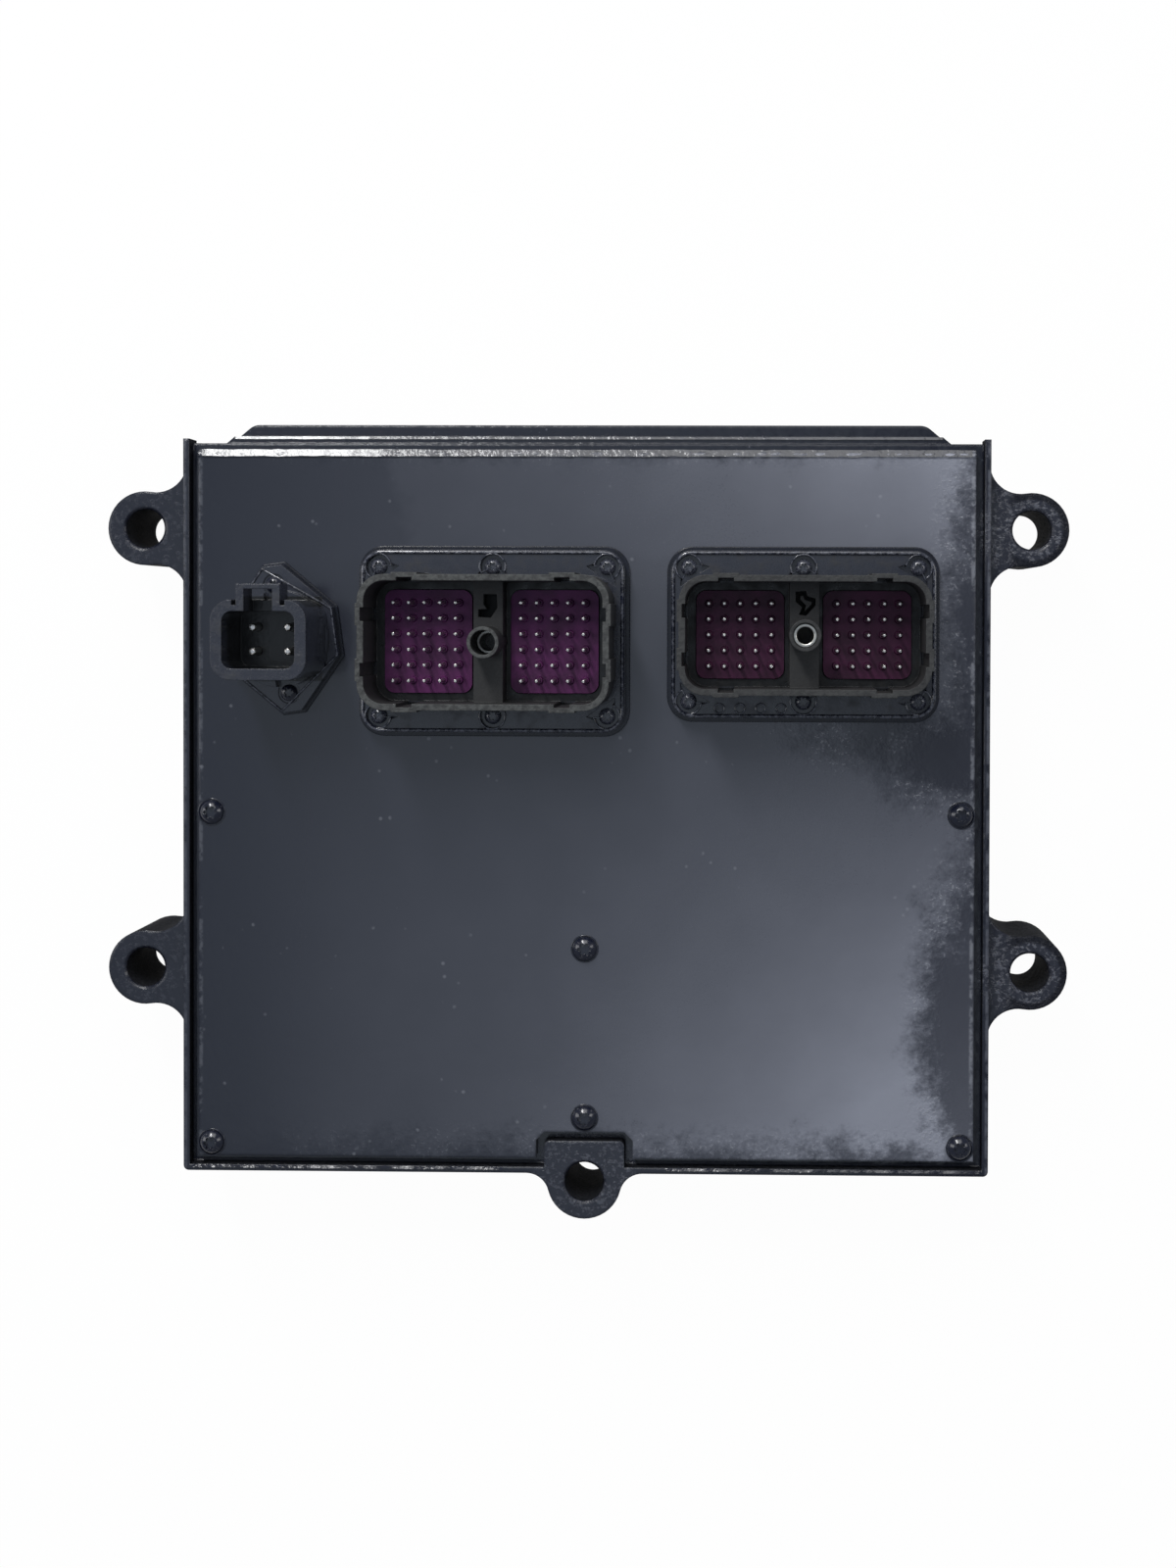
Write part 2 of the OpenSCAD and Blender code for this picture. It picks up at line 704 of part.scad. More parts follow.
// Key-shaped recess in the web, different for each header so that plugs can't be swapped
module key_outline(rows) {
    if (rows == rows_60)
        polygon([
            [-1.4, 3.6], [2.6, 3.6], [2.8, -0.4], [0.8, -3.4], [-3, -3.2], [-3, -1], [-0.4, -0.8], [-1.4, 0.6]
        ]);
    else
        difference() {
            polygon([
                [-2.6, 3.4], [0.4, 3.7], [0.8, 2.2], [3.4, 1.3], [3.3, -0.6], [0.5, -3.7], [-1.6, -3.4],
                [-0.7, -1.2], [-2.6, 0.5]
            ]);
            polygon([
                [-1.2, 2.2], [-0.4, 2.3], [0, 1.1], [2.2, 0.4], [2.1, -0.3], [0, -2.5], [0.5, -0.7], [-1.2, 1]
            ]);
        }
}

module header_insert(rows, side) {
    color(violet) translate([side * block_x, 0, insert_floor]) difference() {
        linear_extrude(insert_t) round_rect(block_w, block_h(rows), 3);
        for (p = pins_at(rows)) if (p.x * side > 0) translate([p.x - side * block_x, p.y, -over])
            cylinder(d = pin_d + 2 * fit, h = insert_t + 2 * over);
    }
}

module header_pins(rows) {
    color(nickel) for (p = pins_at(rows))
        translate([p.x, p.y, 0]) pin(pin_d, board_z - 1.2 - face_z, pin_tip);
}

module jack_bush(bush_top) {
    color(nickel) translate([0, 0, bush_top - bush_l]) difference() {
        cylinder(d = bush_d, h = bush_l);
        translate([0, 0, -over]) cylinder(d = bush_bore, h = bush_l + 2 * over);
    }
}

module header_screws(rows) {
    color(paint) for (p = header_screws_at(rows))
        translate([p.x, p.y, pocket_floor])
            screw(header_screw_d, header_head_d, header_head_h, header_screw_l);
}

module header_gasket(rows) {
    color(rubber) linear_extrude(header_gasket_t) difference() {
        round_rect(flange_w + 2 * header_bead, flange_h(rows) + 2 * header_bead, flange_r + header_bead);
        square([rear_w + 1, rear_h(rows) + 1], center = true);
        for (p = header_screws_at(rows)) translate(p) circle(d = header_screw_d + 0.4);
    }
}

module header_60_shell() on_cover(header_60_x, header_y(rows_60))
    header_shell(rows_60, shroud_top - bush_sunk);
module header_60_left_insert() on_cover(header_60_x, header_y(rows_60)) header_insert(rows_60, -1);
module header_60_right_insert() on_cover(header_60_x, header_y(rows_60)) header_insert(rows_60, 1);
module header_60_pins() on_cover(header_60_x, header_y(rows_60)) header_pins(rows_60);
module header_60_jack_bush() on_cover(header_60_x, header_y(rows_60)) jack_bush(shroud_top - bush_sunk);
module header_60_screws() on_cover(header_60_x, header_y(rows_60)) header_screws(rows_60);
module header_60_gasket() on_cover(header_60_x, header_y(rows_60)) header_gasket(rows_60);

module header_50_shell() on_cover(header_50_x, header_y(rows_50)) header_shell(rows_50, shroud_top - 0.8);
module header_50_left_insert() on_cover(header_50_x, header_y(rows_50)) header_insert(rows_50, -1);
module header_50_right_insert() on_cover(header_50_x, header_y(rows_50)) header_insert(rows_50, 1);
module header_50_pins() on_cover(header_50_x, header_y(rows_50)) header_pins(rows_50);
module header_50_jack_bush() on_cover(header_50_x, header_y(rows_50)) jack_bush(shroud_top - 0.8);
module header_50_screws() on_cover(header_50_x, header_y(rows_50)) header_screws(rows_50);
module header_50_gasket() on_cover(header_50_x, header_y(rows_50)) header_gasket(rows_50);

// Long eight-sided outline of the power flange
module power_outline(grow) {
    x = power_flange_x + grow;
    y = power_flange_y + grow;
    a = 3 + grow * 0.4;
    b = 7.4 + grow * 0.4;
    rotate(power_turn)
        polygon([[-a, y], [a, y], [x, b], [x, -b], [a, -y], [-a, -y], [-x, -b], [-x, b]]);
}

module power_shell() {
    slot = latch_w - 2 * latch_post;
    latch_z = power_top - 10;
    color(plastic) on_cover(power_x, power_y) difference() {
        union() {
            power_flange();
            translate([0, 0, header_gasket_t]) linear_extrude(power_top - header_gasket_t)
                round_rect(power_w, power_h, power_r);
            translate([-latch_w / 2, power_h / 2 - 1, latch_z])
                cube([latch_w, latch_h + 1, power_top - latch_z]);
            power_rear();
        }
        translate([0, 0, power_floor]) linear_extrude(power_top)
            round_rect(power_w - 2 * power_wall, power_h - 2 * power_wall, 3);
        translate([-slot / 2, 0, latch_z - over]) cube([slot, power_h / 2 + latch_h - latch_bar, power_top]);
        for (side = [-1, 1]) translate([side * (latch_w / 2 + 0.7) - 0.7, power_h / 2 - 1.6, latch_z])
            cube([1.4, 3, power_top]);
        for (p = power_pins_at) translate([p.x, p.y, plate_bottom - over])
            cylinder(d = power_pin_d + 2 * fit, h = power_floor + 6);
    }
}

// Flange with a raised middle and a pocket at each screw
module power_flange() {
    top = header_gasket_t + power_flange_t;
    difference() {
        union() {
            translate([0, 0, header_gasket_t]) linear_extrude(power_flange_t) power_outline(0);
            translate([0, 0, top - over]) cylinder(d = 2 * power_flange_x - 4, h = power_raise + over);
        }
        for (p = power_screws_at) translate([p.x, p.y, 0]) {
            cylinder(d = header_screw_d + 0.4, h = top);
            translate([0, 0, pocket_floor]) linear_extrude(top + power_raise) power_pocket(p);
        }
    }
}

// Pocket around a power flange screw, open towards the socket
module power_pocket(p) {
    d = pocket_d - 1;
    circle(d = d);
    rotate(power_turn + (p.y > 0 ? 180 : 0)) translate([-0.44 * d, 0]) square([0.88 * d, power_screw_y / 2]);
}

// Round neck through the cover, with a skirt down to the board
module power_rear() {
    skirt_bottom = board_top + 0.2 - face_z;
    translate([0, 0, plate_bottom]) cylinder(r = power_rear_r, h = header_gasket_t - plate_bottom + 0.5);
    translate([0, 0, skirt_bottom]) difference() {
        cylinder(r = power_rear_r, h = plate_bottom - skirt_bottom + 0.5);
        translate([0, 0, -over]) cylinder(r = power_rear_r - 1.6, h = plate_bottom - skirt_bottom + over);
    }
}

module power_pins() {
    color(nickel) on_cover(power_x, power_y) for (p = power_pins_at)
        translate([p.x, p.y, 0]) pin(power_pin_d, board_z - 1.2 - face_z, power_tip);
}

module power_screws() {
    color(paint) on_cover(power_x, power_y) for (p = power_screws_at)
        translate([p.x, p.y, pocket_floor])
            screw(header_screw_d, header_head_d, header_head_h, header_screw_l);
}

module power_gasket() {
    color(rubber) on_cover(power_x, power_y) linear_extrude(header_gasket_t) difference() {
        power_outline(0.9);
        power_cutout();
    }
}

module circuit_board() {
    color(laminate) translate([0, 0, board_z]) linear_extrude(board_t) difference() {
        translate([-board_x, board_y0]) square([2 * board_x, board_y1 - board_y0]);
        translate(centre_screw) circle(boss_r + 0.8);
        translate([-notch_x - seat_w - 1, board_y0 - over])
            square([2 * (notch_x + seat_w + 1), edge_screws[4].y + boss_r + 1 - board_y0 + over]);
        for (p = board_screws_at) translate(p) circle(d = board_screw_d + 0.4);
        translate([header_60_x, header_y(rows_60)])
            for (p = pins_at(rows_60)) translate(p) circle(d = pin_d + 0.1);
        translate([header_50_x, header_y(rows_50)])
            for (p = pins_at(rows_50)) translate(p) circle(d = pin_d + 0.1);
        for (p = power_pins_at) translate([power_x + p.x, power_y + p.y]) circle(d = power_pin_d + 0.1);
    }
}

module board_screws() {
    color(steel) for (p = board_screws_at)
        translate([p.x, p.y, board_top])
            screw(board_screw_d, board_head_d, board_head_h, board_t + board_screw_bite);
}

// Moulded chip with flat leads on its two long sides, standing on the board
module leaded_chip(w, h, t, leads) {
    translate([-w / 2, -h / 2, 0.15]) cube([w, h, t]);
    for (i = [0 : leads - 1], side = [-1, 1]) {
        x = (i - (leads - 1) / 2) * (w - 2) / leads;
        translate([x - 0.3, side * (h / 2 + 0.7) - 0.9, 0]) cube([0.6, 1.8, 0.4]);
    }
}

module on_board(x, y) {
    translate([x, y, board_top]) children();
}

module processor() {
    color(chip) on_board(across(-0.419), up(0.388)) {
        leaded_chip(processor_w, processor_w, processor_t, 20);
        rotate(90) leaded_chip(processor_w, processor_w, processor_t, 20);
    }
}

module memory_chips() {
    pitch = memory_w + 1.5 * board_space;
    color(chip) for (i = [0, 1]) on_board(across(-0.1275), up(0.439) - i * pitch)
        leaded_chip(memory_l, memory_w, 0.75 * processor_t, 12);
}

module driver_chips() {
    color(chip) for (p = drivers_at) on_board(p.x, p.y) leaded_chip(driver_l, driver_w, driver_t, 10);
}

// Power transistors in a row, each with its metal tab flat on the board
module power_transistors() {
    l = transistor_l;
    w = transistor_w;
    color(chip) for (i = [0 : 3]) on_board(across(-0.781), up(0.459) - i * (w + board_space)) {
        translate([-l / 2, -w / 2, 0]) cube([l, w, w / 2]);
        translate([-0.75 * l, -0.45 * w, 0]) cube([0.3 * l, 0.9 * w, 0.15 * w]);
        for (side = [-1, 1]) translate([0.45 * l, side * 0.28 * w - 0.05 * l, 0])
            cube([0.4 * l, 0.1 * l, 0.09 * w]);
    }
}

// Upright can capacitors with a crimped groove
module bulk_capacitors() {
    r = capacitor_d / 2;
    pitch = capacitor_d + 0.65 * board_space;
    color(steel) for (i = [0 : 3]) on_board(across(0.2915) + i * pitch, up(0.4287))
        rotate_extrude() difference() {
            square([r, capacitor_h]);
            translate([1.13 * r, 0.42 * r]) circle(0.21 * r);
        }
}

// Ring inductors lying in moulded bases
module boost_inductors() {
    w = inductor_w;
    r = inductor_ring / 2;
    color("#7a4a2a") for (i = [0, 1]) on_board(across(0.3825) + i * (w + 2 * board_space), up(0.2862)) {
        translate([-w / 2, -w / 2, 0]) cube([w, w, board_t]);
        translate([0, 0, board_t + 0.95 * r]) rotate_extrude() translate([0.49 * w - r, 0]) circle(r);
    }
}

module crystal() {
    w = processor_w;
    color(steel) on_board(across(-0.419), up(0.2556)) linear_extrude(0.14 * w)
        round_rect(0.42 * w, 0.18 * w, 0.085 * w);
}

// Barometric sensor: moulded body with a short port
module pressure_sensor() {
    w = sensor_w;
    color(chip) on_board(across(0.8816), up(0.2963)) difference() {
        union() {
            translate([-w / 2, -w / 2, 0]) cube([w, w, 0.46 * w]);
            cylinder(d = 0.42 * w, h = 0.75 * w);
        }
        translate([0, 0, w / 4]) cylinder(d = w / 6, h = w);
    }
}

// Soft pads that carry heat from the board to the back wall
module thermal_pads() {
    w = pedestal_w - 2;
    h = pedestal_h - 1;
    color("#8a8f96") for (p = [drivers_at[1], drivers_at[4]])
        translate([p.x - w / 2, p.y - h / 2, board_z - pad_t]) cube([w, h, pad_t]);
}

housing();
cover_plate();
cover_gasket();
cover_screws();
header_60_shell();
header_60_left_insert();
header_60_right_insert();
header_60_pins();
header_60_jack_bush();
header_60_screws();
header_60_gasket();
header_50_shell();
header_50_left_insert();
header_50_right_insert();
header_50_pins();
header_50_jack_bush();
header_50_screws();
header_50_gasket();
power_shell();
power_pins();
power_screws();
power_gasket();
circuit_board();
board_screws();
processor();
memory_chips();
driver_chips();
power_transistors();
bulk_capacitors();
boost_inductors();
crystal();
pressure_sensor();
thermal_pads();
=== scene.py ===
"""Engine control unit: finishes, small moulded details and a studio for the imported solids."""

import json
import math

import bpy
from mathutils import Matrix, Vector


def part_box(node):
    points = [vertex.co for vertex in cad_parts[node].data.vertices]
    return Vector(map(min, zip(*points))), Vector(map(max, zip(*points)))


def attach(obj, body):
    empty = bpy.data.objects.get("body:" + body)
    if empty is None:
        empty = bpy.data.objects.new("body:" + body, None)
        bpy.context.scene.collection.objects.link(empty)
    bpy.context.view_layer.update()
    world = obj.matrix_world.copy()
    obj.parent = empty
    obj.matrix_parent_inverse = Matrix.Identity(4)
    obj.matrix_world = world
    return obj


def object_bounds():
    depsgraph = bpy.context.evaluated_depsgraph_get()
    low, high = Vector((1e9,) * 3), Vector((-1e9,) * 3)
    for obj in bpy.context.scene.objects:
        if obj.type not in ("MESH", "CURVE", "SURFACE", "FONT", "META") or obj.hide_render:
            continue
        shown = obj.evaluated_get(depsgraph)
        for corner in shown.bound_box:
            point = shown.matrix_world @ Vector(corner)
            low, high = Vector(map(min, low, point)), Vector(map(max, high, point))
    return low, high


bl_info = {
    "name": "Engine control unit",
    "version": (1, 0, 0),
    "blender": (4, 5, 0),
    "location": "3D View > Sidebar > Control unit",
    "description": "Dresses an engine control unit in paint, moulded plastic and plated metal",
    "category": "Object",
}

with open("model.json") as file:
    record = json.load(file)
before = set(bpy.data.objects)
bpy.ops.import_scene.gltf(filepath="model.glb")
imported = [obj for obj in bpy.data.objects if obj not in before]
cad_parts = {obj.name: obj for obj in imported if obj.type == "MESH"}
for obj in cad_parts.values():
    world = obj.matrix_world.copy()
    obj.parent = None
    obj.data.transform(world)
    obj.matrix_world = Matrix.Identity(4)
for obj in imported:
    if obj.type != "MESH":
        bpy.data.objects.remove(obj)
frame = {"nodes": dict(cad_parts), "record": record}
CAD_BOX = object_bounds()
NODES = frame["nodes"]
MM = 0.001

# The cover's box, and levels of its face and of the header flanges
COVER_LOW, COVER_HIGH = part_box("cover_plate")
FACE = COVER_HIGH.z
FLANGE_TOP = FACE + 5.5 * MM
POWER_FLANGE_TOP = FACE + 4.5 * MM
# Levels below which the header shells are painted dark inside as shade, and up to which they are sprayed
HEADER_DIM = FACE + 15 * MM
HEADER_SPRAY = FACE + 11.5 * MM
POWER_DIM = FACE + 28 * MM
POWER_SPRAY = FACE + 40 * MM
# The housing's rim: its top, its lower inner edge, its outer side edges and its two lower stretches
RIM_TOP = 35 * MM
RIM_EDGE = -128 * MM
RIM_SIDE = 123.2 * MM
RIM_STRETCHES = {"left": (-121 * MM, -25 * MM), "right": (25 * MM, 121 * MM)}
# The rail's step: its upper edge, its front and half its length
STEP_TOP = 96.7 * MM
STEP_FRONT = FACE - 7 * MM
RAIL_HALF = 109.5 * MM
BORES = [mount for mount in frame["record"]["mounts"] if mount["name"].endswith("_lug")]
BORE_RADIUS = BORES[0]["dims"]["r_mm"] * MM
# Where the paint on the lugs changes: two ranges of the distance from a bore's axis, and one along X
LUG_REACH = (13 * MM, 19 * MM)
LUG_ROLL = (8.8 * MM, 10 * MM)
LUG_OUTER = (128 * MM, 133 * MM)
# Places of the cover screws, from the cover's lower corners
SCREW_INSET = 4.1 * MM
SIDE_SCREW_RISE = 102 * MM
MIDDLE_SCREW_RISE = 60.5 * MM
FOOT_SCREW_RISE = 8.4 * MM
# The two large headers: their pins, the corners of their flanges and the heads of their flange screws
HEADERS = ("header_60", "header_50")
ROWS = {"header_60": 6, "header_50": 5}
COLUMNS = 5
PITCH = 4.68 * MM
FLANGE_CORNER = 6.4 * MM
FLANGE_MARGIN = 0.3 * MM
FLANGE_HEAD = 2.5 * MM
# From the sides of a shell's box to the inside of its shroud
SHROUD_INSET = Vector((5.3, 9.9, 0.0)) * MM
# Screw pockets: where their lips end, how far the ends turn out, and the lean at the corners in degrees
POCKET_OPENING = -1.7 * MM
POCKET_FLARE = (1.1 * MM, -0.7 * MM)
POCKET_LEAN = 34.0
# Dimples on the shorter header's flange
DIMPLES = 4
DIMPLE_FIRST = (41.2 * MM, 13.4 * MM)
DIMPLE_STEP = 6.24 * MM
# Plan of the power flange: half lengths, half lengths of its straight sides and ends, turn and place
POWER_FLANGE_X = 16.6 * MM
POWER_FLANGE_Y = 22.3 * MM
POWER_SIDE = 7.4 * MM
POWER_END = 3.0 * MM
POWER_TURN = math.radians(8.0)
POWER_PLACE = (-92.4 * MM, 34.1 * MM)
# Spacing of the lumps in the beads of paint, and their depth in shares of a bead's width
RUN_STEP = 1.3 * MM
RUN_LUMP = 0.1
# How far two lengths or levels may differ and still count as one
SLACK = 0.02 * MM
# Size of the lumps in thick paint, in repeats to the metre
LUMP_SCALE = 330.0
# Centres and radii of the wet patches on the cover
WET_PATCHES = (
    ((0.111, -0.002), (0.018, 0.013)),
    ((0.119, 0.042), (0.008, 0.046)),
    ((0.089, 0.007), (0.019, 0.0085)),
    ((0.121, -0.086), (0.018, 0.050)),
)
# Point that most lamps face
AIM = (0.0, 0.0, 0.03)


def middle(node):
    """Centre of a solid's box."""
    low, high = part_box(node)
    return (low + high) / 2


class Value:
    """A shader socket that works in a Python expression."""

    def __init__(self, net, socket):
        self.net = net
        self.socket = socket

    def maths(self, operation, other=0.0, swapped=False):
        first, second = (other, self) if swapped else (self, other)
        return self.net.node("ShaderNodeMath", {"operation": operation}, {0: first, 1: second})

    def __add__(self, other):
        return self.maths("ADD", other)

    def __radd__(self, other):
        return self.maths("ADD", other)

    def __sub__(self, other):
        return self.maths("SUBTRACT", other)

    def __rsub__(self, other):
        return self.maths("SUBTRACT", other, swapped=True)

    def __mul__(self, other):
        return self.maths("MULTIPLY", other)

    def __rmul__(self, other):
        return self.maths("MULTIPLY", other)

    def __truediv__(self, other):
        return self.maths("DIVIDE", other)

    def __abs__(self):
        return self.maths("ABSOLUTE")

    def least(self, other):
        return self.maths("MINIMUM", other)

    def most(self, other):
        return self.maths("MAXIMUM", other)

    def root(self):
        return self.maths("SQRT")


class Net:
    """The nodes of one material."""

    def __init__(self, name):
        self.material = bpy.data.materials.new(name)
        self.material.use_nodes = True
        self.tree = self.material.node_tree
        self.tree.nodes.clear()

    def node(self, kind, settings=None, inputs=None, output=0):
        """Adds a node, sets it and joins its sockets, and returns one of its outputs."""
        made = self.tree.nodes.new(kind)
        for key, setting in (settings or {}).items():
            setattr(made, key, setting)
        for key, entry in (inputs or {}).items():
            if isinstance(entry, Value):
                self.tree.links.new(entry.socket, made.inputs[key])
            else:
                made.inputs[key].default_value = entry
        return Value(self, made.outputs[output]) if len(made.outputs) else None

    def place(self):
        return self.node("ShaderNodeTexCoord", output="Object")

    def facing(self):
        """Share of the surface that faces along Z, either way."""
        normal = self.node("ShaderNodeTexCoord", output="Normal")
        return abs(self.axis(normal, "Z"))

    def axis(self, place, letter):
        return self.node("ShaderNodeSeparateXYZ", inputs={0: place}, output=letter)

    def noise(self, place, scale, detail=3.0, rough=0.55):
        inputs = {"Vector": place, "Scale": scale, "Detail": detail, "Roughness": rough}
        return self.node("ShaderNodeTexNoise", inputs=inputs)

    def specks(self, place, scale):
        """Small round specks."""
        cells = self.node("ShaderNodeTexVoronoi", {"feature": "F1"}, {"Vector": place, "Scale": scale})
        return 1.0 - self.fade(cells, 0.06, 0.2)

    def fade(self, value, low, high):
        """0 below low, 1 above high, smooth between."""
        inputs = {"Value": value, "From Min": low, "From Max": high}
        return self.node("ShaderNodeMapRange", {"interpolation_type": "SMOOTHSTEP"}, inputs)

    def mix(self, factor, first, second):
        """Blend of two colours."""
        inputs = {0: factor, 6: first, 7: second}
        return self.node("ShaderNodeMix", {"data_type": "RGBA"}, inputs, output=2)

    def bump(self, height, rounding=0.0):
        """Normal of a surface with this height on it, and with its edges rounded."""
        inputs = {"Height": height, "Strength": 1.0, "Distance": 1.0}
        if rounding:
            inputs["Normal"] = self.node("ShaderNodeBevel", {"samples": 6}, {"Radius": rounding})
        return self.node("ShaderNodeBump", inputs=inputs, output="Normal")

    def distance(self, x, y, centre, radii=(1.0, 1.0)):
        """Distance from an upright axis, in shares of the radii."""
        across = (x - centre[0]) / radii[0]
        along = (y - centre[1]) / radii[1]
        return (across * across + along * along).root()

    def surface(self, colour, roughness, ior=1.5, **more):
        """A principled shader."""
        inputs = {"Base Color": colour, "Roughness": roughness, "IOR": ior}
        inputs.update({key.replace("_", " ").title(): entry for key, entry in more.items()})
        return self.node("ShaderNodeBsdfPrincipled", inputs=inputs)

    def output(self, shader):
        """Joins a shader to the output and returns the material."""
        self.node("ShaderNodeOutputMaterial", inputs={"Surface": shader})
        return self.material

    def finish(self, colour, roughness, **more):
        """A material of one principled shader."""
        return self.output(self.surface(colour, roughness, **more))


def rgb(colour, share=1.0):
    """A colour for a socket, made darker or lighter by a share."""
    return (*(part * share for part in colour), 1.0)


def colour_setting(name, description, default):
    return bpy.props.FloatVectorProperty(
        name=name, description=description, subtype="COLOR", default=default)


def size_setting(name, description, default):
    return bpy.props.FloatProperty(name=name, description=description, unit="LENGTH", default=default)


class PaintSettings(bpy.types.PropertyGroup):
    """Black enamel on the castings, cover and screws."""

    colour: colour_setting("Enamel", "Colour of the black enamel", (0.0052, 0.0066, 0.015))
    # Haze is the colour of dust, and also of the painted reflection, glints and highlights carried by the
    # cover's film, the lugs' grains and the paint's crests
    haze: colour_setting("Haze", "Colour of the dusty film on the cover", (0.24, 0.252, 0.297))
    speck: colour_setting("Specks", "Colour of the dry specks", (0.26, 0.27, 0.3))
    wall: colour_setting("Walls", "Darker colour of the dull upright walls", (0.006, 0.0065, 0.008))
    wall_grain: colour_setting("Wall grain", "Paler colour of those walls", (0.02, 0.021, 0.025))
    steel: colour_setting("Rubbed screws", "Colour where the screws are rubbed", (0.16, 0.16, 0.165))
    peel: size_setting("Orange peel", "Depth of the paint's ripple", 0.06 * MM)
    lump: size_setting("Lumps", "Depth of the lumps in the thick paint", 0.3 * MM)
    stipple: size_setting("Stipple", "Depth of the casting's fine grain", 0.03 * MM)
    edge: size_setting("Edge rounding", "Radius of the cast edges", 1.2 * MM)
    gloss: bpy.props.FloatProperty(
        name="Roughness", description="Roughness of the clean enamel", default=0.2, min=0.02, max=1.0)


class TrimSettings(bpy.types.PropertyGroup):
    """Paint rings, borders, lips, dimples and collars."""

    ring_radius: size_setting("Ring radius", "Radius of the paint ring around a cover screw", 4.3 * MM)
    ring_width: size_setting("Ring width", "Width of the paint ring", 0.5 * MM)
    ring_height: size_setting("Ring height", "Height of the paint ring", 0.22 * MM)
    ring_rounding: size_setting("Ring rounding", "Rounding of the paint ring", 0.18 * MM)
    border_width: size_setting("Border width", "Width of a large flange's border", 1.2 * MM)
    border_height: size_setting("Border height", "Height of a large flange's border", 0.7 * MM)
    border_rounding: size_setting("Border rounding", "Rounding of a large flange's border", 0.55 * MM)
    power_width: size_setting("Power border width", "Width of the power flange's border", 0.7 * MM)
    power_height: size_setting("Power border height", "Height of the power flange's border", 0.45 * MM)
    power_rounding: size_setting("Power border rounding", "Rounding of the power flange's border", 0.28 * MM)
    lip_radius: size_setting("Lip radius", "Radius of the lip around a screw pocket", 4.2 * MM)
    lip_width: size_setting("Lip width", "Width of the lip", 0.55 * MM)
    lip_height: size_setting("Lip height", "Height of the lip", 0.65 * MM)
    lip_rounding: size_setting("Lip rounding", "Rounding of the lip", 0.22 * MM)
    dimple_radius: size_setting("Dimple radius", "Radius of a dimple's lip", 1.75 * MM)
    dimple_width: size_setting("Dimple width", "Width of a dimple's lip", 0.55 * MM)
    dimple_height: size_setting("Dimple height", "Height of a dimple's lip", 0.6 * MM)
    dimple_rounding: size_setting("Dimple rounding", "Rounding of a dimple's lip", 0.25 * MM)
    collar_base: size_setting("Collar base", "Radius of a pin's collar at its base", 1.3 * MM)
    collar_top: size_setting("Collar top", "Radius of a pin's collar at its top", 1.0 * MM)
    collar_height: size_setting("Collar height", "Height of a pin's collar", 0.8 * MM)
    collar_wall: size_setting("Collar wall", "Wall of a pin's collar", 0.34 * MM)
    collar_depth: size_setting("Collar depth", "Depth of the hole in a pin's collar", 0.7 * MM)


class PlasticSettings(bpy.types.PropertyGroup):
    """Moulded header shells and their inserts."""

    shell: colour_setting("Shell", "Colour of the bare header plastic", (0.02, 0.0203, 0.021))
    chalk: colour_setting("Rubbed rim", "Colour of the rubbed rims", (0.06, 0.063, 0.061))
    # Painted shade: the colour that stands for the shade deep inside the shells
    shade: colour_setting("Inside", "Colour deep inside the shells", (0.0022, 0.0025, 0.003))
    violet: colour_setting("Insert", "Colour of the longer header's inserts", (0.085, 0.011, 0.078))
    # The shorter header's inserts are the longer's violet, painted darker as shade
    violet_in_shade: colour_setting("Plum insert", "Colour of the shorter header's inserts", (0.05, 0.005, 0.033))
    edge: size_setting("Edge rounding", "Radius of the moulded edges", 0.4 * MM)


class MetalSettings(bpy.types.PropertyGroup):
    """Pins and jack bushes."""

    nickel: colour_setting("Pin plating", "Colour of the plated pins", (0.8, 0.77, 0.73))
    steel: colour_setting("Bush steel", "Colour of the jack bushes", (0.55, 0.54, 0.5))


class BoardSettings(bpy.types.PropertyGroup):
    """Circuit board and the parts on it."""

    laminate: colour_setting("Board", "Colour of the circuit board", (0.012, 0.085, 0.035))
    track: colour_setting("Tracks", "Colour of the tracks under the solder mask", (0.03, 0.17, 0.075))
    epoxy: colour_setting("Chips", "Colour of the chips", (0.02, 0.02, 0.022))
    can: colour_setting("Cans", "Colour of the capacitors, the crystal and the screws", (0.6, 0.61, 0.62))
    copper: colour_setting("Windings", "Colour of the inductors", (0.5, 0.2, 0.08))
    pad: colour_setting("Pads", "Colour of the thermal pads", (0.25, 0.27, 0.3))


class StageSettings(bpy.types.PropertyGroup):
    """Camera, floor and sky."""

    camera: bpy.props.FloatVectorProperty(
        name="Camera", description="Place of the camera", unit="LENGTH",
        default=(0.05163, 0.04218, 0.64874))
    tilt: bpy.props.FloatVectorProperty(
        name="Camera turn", description="Turn of the camera", subtype="EULER",
        default=(math.radians(-0.833), math.radians(1.16), math.radians(0.177)))
    lens: bpy.props.FloatProperty(
        name="Lens", description="Focal length in millimetres", default=46.12)
    shift: bpy.props.FloatVectorProperty(
        name="Shift", description="Shift of the frame", size=2, default=(-0.08, -0.09))
    floor: colour_setting("Floor", "Colour of the floor", (0.86, 0.86, 0.86))
    sky: colour_setting("Sky", "Colour of the light from all sides", (0.62, 0.68, 0.8))
    sky_strength: bpy.props.FloatProperty(
        name="Sky strength", description="Strength of the light from all sides", default=0.3, min=0.0)


def begin():
    """Clears the selection before a new piece is added."""
    bpy.ops.object.select_all(action="DESELECT")


def select(piece, kind, wanted):
    """Enters edit mode with only the wanted points, edges or faces selected."""
    bpy.ops.object.mode_set(mode="EDIT")
    bpy.ops.mesh.select_mode(type=kind)
    bpy.ops.mesh.select_all(action="DESELECT")
    bpy.ops.object.mode_set(mode="OBJECT")
    mesh = piece.data
    for part in {"VERT": mesh.vertices, "EDGE": mesh.edges, "FACE": mesh.polygons}[kind]:
        part.select = wanted(part)
    bpy.ops.object.mode_set(mode="EDIT")


def ends_of(piece, edge):
    """Places of an edge's two ends."""
    return [piece.data.vertices[number].co for number in edge.vertices]


